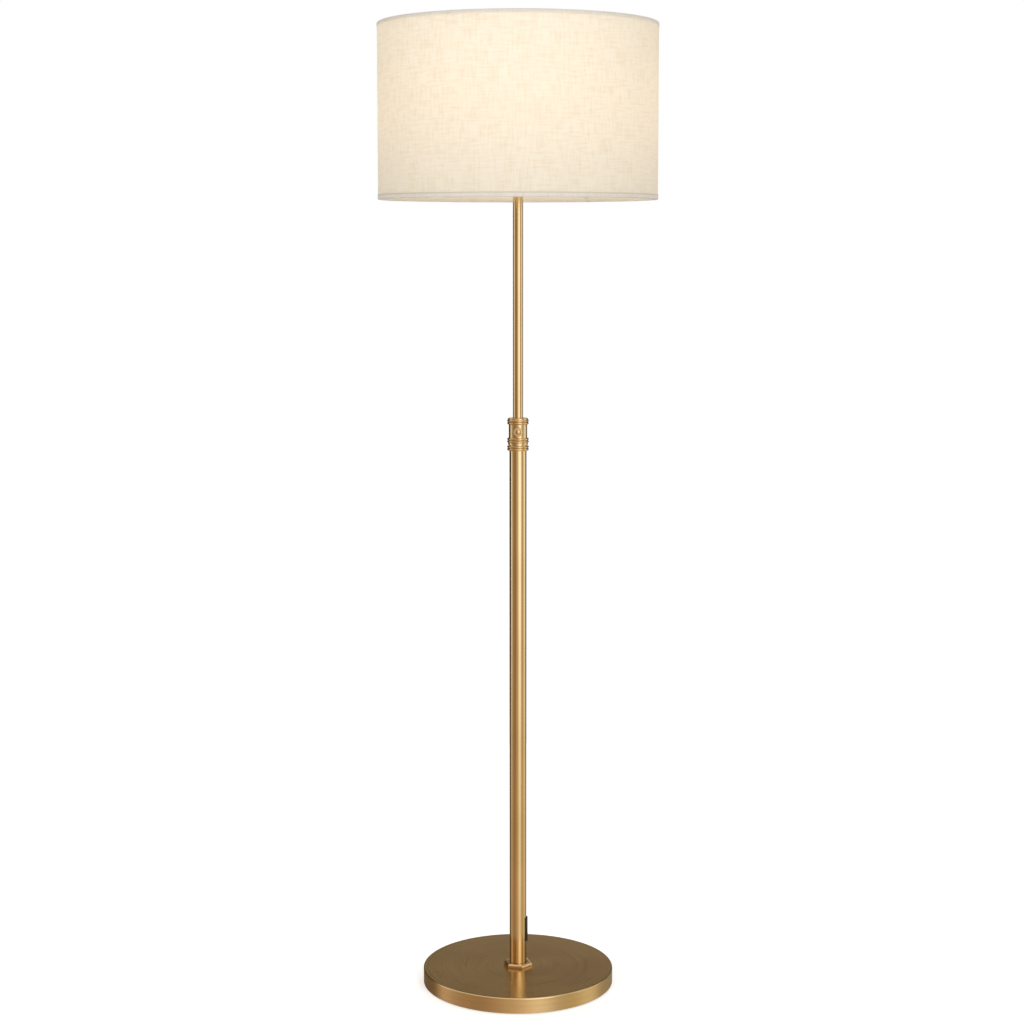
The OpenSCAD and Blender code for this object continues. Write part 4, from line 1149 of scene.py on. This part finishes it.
@dataclass
class Studio:
    """The camera, the lights, the pale floor and the white backdrop."""

    # The camera stands before the lamp, a little above its middle, and looks slightly down.
    distance: float = 3.265
    eye_height: float = 1.189
    look_down: float = math.radians(6.14)
    focal_pixels: float = 2080.0
    image_pixels: float = 1024.0
    axis_pixel: float = 518.0
    shift_up: float = -0.045
    sensor: float = 36.0
    ambient: float = 0.64
    floor_r: float = 1.6
    floor_sides: int = 96
    floor_lift: float = 0.38
    # The floor lies this far under the foot pad, so that the two faces don't flicker.
    floor_gap: float = 0.4 * MM
    aim: tuple[float, float, float] = (0.0, 0.0, 1.0)
    lamps: tuple[AreaLamp, ...] = (AreaLamp("key", (1.3, -2.7, 2.0), 1.4, 0.24),
                                   AreaLamp("fill", (-1.5, -2.5, 1.4), 1.4, 0.18),
                                   AreaLamp("back", (0.6, 2.8, 1.8), 1.4, 0.16))
    # The white backdrop as the metal sees it, with a studio's dark flags before parts of it.
    horizon: tuple[Stretch, ...] = (
        Stretch(-180, 1.1), Stretch(-174, 0.9), Stretch(-168, 0.03), Stretch(-111, 0.02), Stretch(-103, 1.45),
        Stretch(-92, 1.25), Stretch(-82, 0.62), Stretch(-72, 0.5, "#FFEEDC"), Stretch(-62, 0.36, "#FFE6C0"),
        Stretch(-46, 0.4, "#FFD4AE"), Stretch(-32, 0.34, "#FFCBA0"), Stretch(-18, 0.6, "#FFEDD8"),
        Stretch(-5, 0.7, "#FFF3E8"), Stretch(5, 0.95), Stretch(14, 1.98, "#F4F7FF"),
        Stretch(37, 1.98, "#F4F7FF"), Stretch(46, 0.85), Stretch(56, 0.55, "#FFF4E0"),
        Stretch(66, 0.42, "#FFF1D4"), Stretch(76, 0.82), Stretch(88, 1.05), Stretch(104, 1.45),
        Stretch(114, 0.75), Stretch(123, 0.12), Stretch(160, 0.1), Stretch(169, 0.9), Stretch(180, 1.1))
    # The same lower down, where the floor carries it on, softer and warmer.
    floor_glow: tuple[Stretch, ...] = (
        Stretch(-180, 0.36, "#FFE6CE"), Stretch(-160, 0.18, "#FFDDB8"), Stretch(-120, 0.2, "#FFDDB8"),
        Stretch(-104, 0.64, "#FFE0C4"), Stretch(-84, 0.5, "#FFE0BE"), Stretch(-47, 0.38, "#FFDDBA"),
        Stretch(-23, 0.52, "#FFDEBE"), Stretch(0, 0.7, "#FFE6C6"), Stretch(23, 1.0, "#FFF4E0"),
        Stretch(47, 0.6, "#FFEDCE"), Stretch(74, 0.62, "#FFF0C2"), Stretch(100, 0.86, "#FFF4D6"),
        Stretch(118, 0.46, "#FFF2D2"), Stretch(156, 0.3, "#FFEED2"), Stretch(180, 0.36, "#FFE6CE"))
    wall_tint: str = "#FFE0A8"
    wall: float = 0.17
    ceiling_tint: str = "#FFFCF6"
    even_tint: str = "#FFFEFB"
    floor_tint: str = "#F4F3F2"
    white: str = "#FFFFFF"
    # Where the room changes, as sines of elevations: the floor's share starts at 8 degrees below
    # the horizon, the dark wall behind the lamp at 7 degrees above it, the ceiling at 38 degrees.
    floor_edge: tuple[float, float] = (-0.14, -0.3)
    wall_foot: tuple[float, float] = (0.12, 0.28)
    ceiling_edge: tuple[float, float] = (0.62, 0.85)
    # The same for the wall's sides, along +Y.
    wall_sides: tuple[float, float] = (-0.1, 0.35)

    def camera(self) -> None:
        """Makes the camera."""
        data = bpy.data.cameras.new("camera")
        data.sensor_width = self.sensor
        data.lens = self.focal_pixels / self.image_pixels * self.sensor
        data.shift_x = (self.image_pixels / 2 - self.axis_pixel) / self.image_pixels
        data.shift_y = self.shift_up
        camera = bpy.data.objects.new("camera", data)
        camera.location = (0, -self.distance, self.eye_height)
        camera.rotation_euler = (math.pi / 2 - self.look_down, 0, 0)
        bpy.context.scene.collection.objects.link(camera)
        bpy.context.scene.camera = camera

    def area_lamps(self) -> None:
        """Makes the soft lamps. A share of 1 lights a facing white surface to white by itself."""
        for lamp in self.lamps:
            reach = Vector(self.aim) - Vector(lamp.place)
            data = bpy.data.lights.new(lamp.name, "AREA")
            data.shape = "DISK"
            data.size = lamp.size
            data.energy = lamp.share * math.pi ** 2 * reach.length_squared
            light = bpy.data.objects.new(lamp.name, data)
            light.location = lamp.place
            light.rotation_mode = "QUATERNION"
            light.rotation_quaternion = reach.to_track_quat("-Z", "Y")
            light.visible_glossy = False
            bpy.context.scene.collection.objects.link(light)

    def floor(self) -> None:
        """Makes the floor: a pale disc that keeps the lamp's shadow and meets the white backdrop."""
        shape = bmesh.new()
        place = Matrix.Translation((0, 0, -self.floor_gap))
        bmesh.ops.create_circle(shape, cap_ends=True, segments=self.floor_sides, radius=self.floor_r,
                                matrix=place)
        mesh = bpy.data.meshes.new("floor")
        shape.to_mesh(mesh)
        shape.free()
        floor = bpy.data.objects.new("floor", mesh)
        bpy.context.scene.collection.objects.link(floor)
        material = bpy.data.materials.new("pale_floor")
        material.use_nodes = True
        tree = material.node_tree
        tree.nodes.remove(tree.nodes["Principled BSDF"])
        matt = add_node(tree, "BsdfDiffuse", {"Color": linear(self.floor_tint)})
        seen = add_node(tree, "LightPath").outputs["Is Camera Ray"]
        lift = add_node(tree, "Math", {0: seen, 1: self.floor_lift}, operation="MULTIPLY")
        glow = add_node(tree, "Emission", {"Color": linear(self.white), "Strength": lift})
        both = add_node(tree, "AddShader", {0: matt, 1: glow})
        # From below the floor is clear, so that it doesn't hide the base.
        below = add_node(tree, "NewGeometry").outputs["Backfacing"]
        clear = add_node(tree, "BsdfTransparent")
        surface = add_node(tree, "MixShader", {0: below, 1: both, 2: clear})
        feed(tree.nodes["Material Output"], {"Surface": surface})
        mesh.materials.append(material)
        floor.visible_glossy = False

    def around(self, tree: Tree, turn: Node, stretches: tuple[Stretch, ...]) -> Node:
        """Adds a ring of light and dark stretches.

        Args:
            tree: the world's node tree.
            turn: the node of the direction, from 0 to 1, where 0.5 is the camera's side.
            stretches: the stretches, in order from -180 to 180 degrees.

        Returns:
            The node of the colour that the metal sees in that direction.
        """
        peak = max(stretch.level for stretch in stretches)
        ring = add_node(tree, "ValToRGB", {0: turn})
        elements = ring.color_ramp.elements
        for index, stretch in enumerate(stretches):
            place = stretch.direction / 360 + 0.5
            if index == 0:
                element = elements[0]
            elif index == len(stretches) - 1:
                element = elements[len(elements) - 1]
            else:
                element = elements.new(place)
            element.position = place
            element.color = (*(stretch.level / peak * c for c in linear(stretch.tint)[:3]), 1)
        return add_node(tree, "VectorMath", {0: ring, "Scale": peak}, operation="SCALE")

    def world(self) -> None:
        """Makes the world: white to the eye, even light on the object, and a lit room to the metal."""
        world = bpy.data.worlds.new("studio")
        bpy.context.scene.world = world
        world.use_nodes = True
        # The metal's view and the even light differ, so each ray has to find its own.
        world.cycles.sampling_method = "NONE"
        tree = world.node_tree
        tree.nodes.remove(tree.nodes["Background"])
        x, y, z = add_node(tree, "SeparateXYZ", {0: add_node(tree, "TexCoord").outputs["Generated"]}).outputs
        front = add_node(tree, "Math", {0: y, 1: -1.0}, operation="MULTIPLY")
        angle = add_node(tree, "Math", {0: x, 1: front}, operation="ARCTAN2")
        turn = add_node(tree, "Math", {0: angle, 1: 0.5 / math.pi, 2: 0.5}, operation="MULTIPLY_ADD")
        low, high, above, behind = (
            add_node(tree, "MapRange", dict(zip(RANGE, (way, *edge))))
            for way, edge in ((z, self.floor_edge), (z, self.wall_foot), (z, self.ceiling_edge),
                              (y, self.wall_sides)))
        walled = add_node(tree, "Math", {0: high, 1: behind}, operation="MULTIPLY")
        dark = [self.wall * c for c in linear(self.wall_tint)[:3]] + [1.0]
        room = self.around(tree, turn, self.horizon)
        for share, other in ((low, self.around(tree, turn, self.floor_glow)), (walled, dark),
                             (above, linear(self.ceiling_tint))):
            room = add_node(tree, "Mix", dict(zip(MIX, (share, room, other))),
                            data_type="RGBA").outputs[MIX_RESULT]
        even = add_node(tree, "Background", {"Color": linear(self.even_tint), "Strength": self.ambient})
        white = add_node(tree, "Background", {"Color": linear(self.white), "Strength": 1.0})
        lit_room = add_node(tree, "Background", {"Color": room, "Strength": 1.0})
        path = add_node(tree, "LightPath").outputs
        eye = add_node(tree, "Math", {0: path["Is Camera Ray"], 1: path["Is Transmission Ray"]},
                       operation="MAXIMUM")
        to_eye = add_node(tree, "MixShader", {0: eye, 1: even, 2: white})
        to_all = add_node(tree, "MixShader", {0: path["Is Glossy Ray"], 1: to_eye, 2: lit_room})
        feed(tree.nodes["World Output"], {"Surface": to_all})

    def build(self) -> None:
        """Sets up the studio."""
        bpy.context.scene.view_settings.view_transform = "Standard"
        self.camera()
        self.world()
        self.area_lamps()
        self.floor()
        log.info("studio: %d lamps, %d stretches of backdrop", len(self.lamps), len(self.horizon))


def main() -> None:
    """Builds the studio and the lamp's pieces."""
    logging.basicConfig(level=logging.INFO, format="%(name)s: %(message)s")
    Studio().build()
    dress_nodes()
    for part in (FootPad(), RockerSwitch(), Thumbscrew(), SlackLead(), DrumShade(), LightBulb()):
        part.build()


if __name__ == "__main__":
    main()
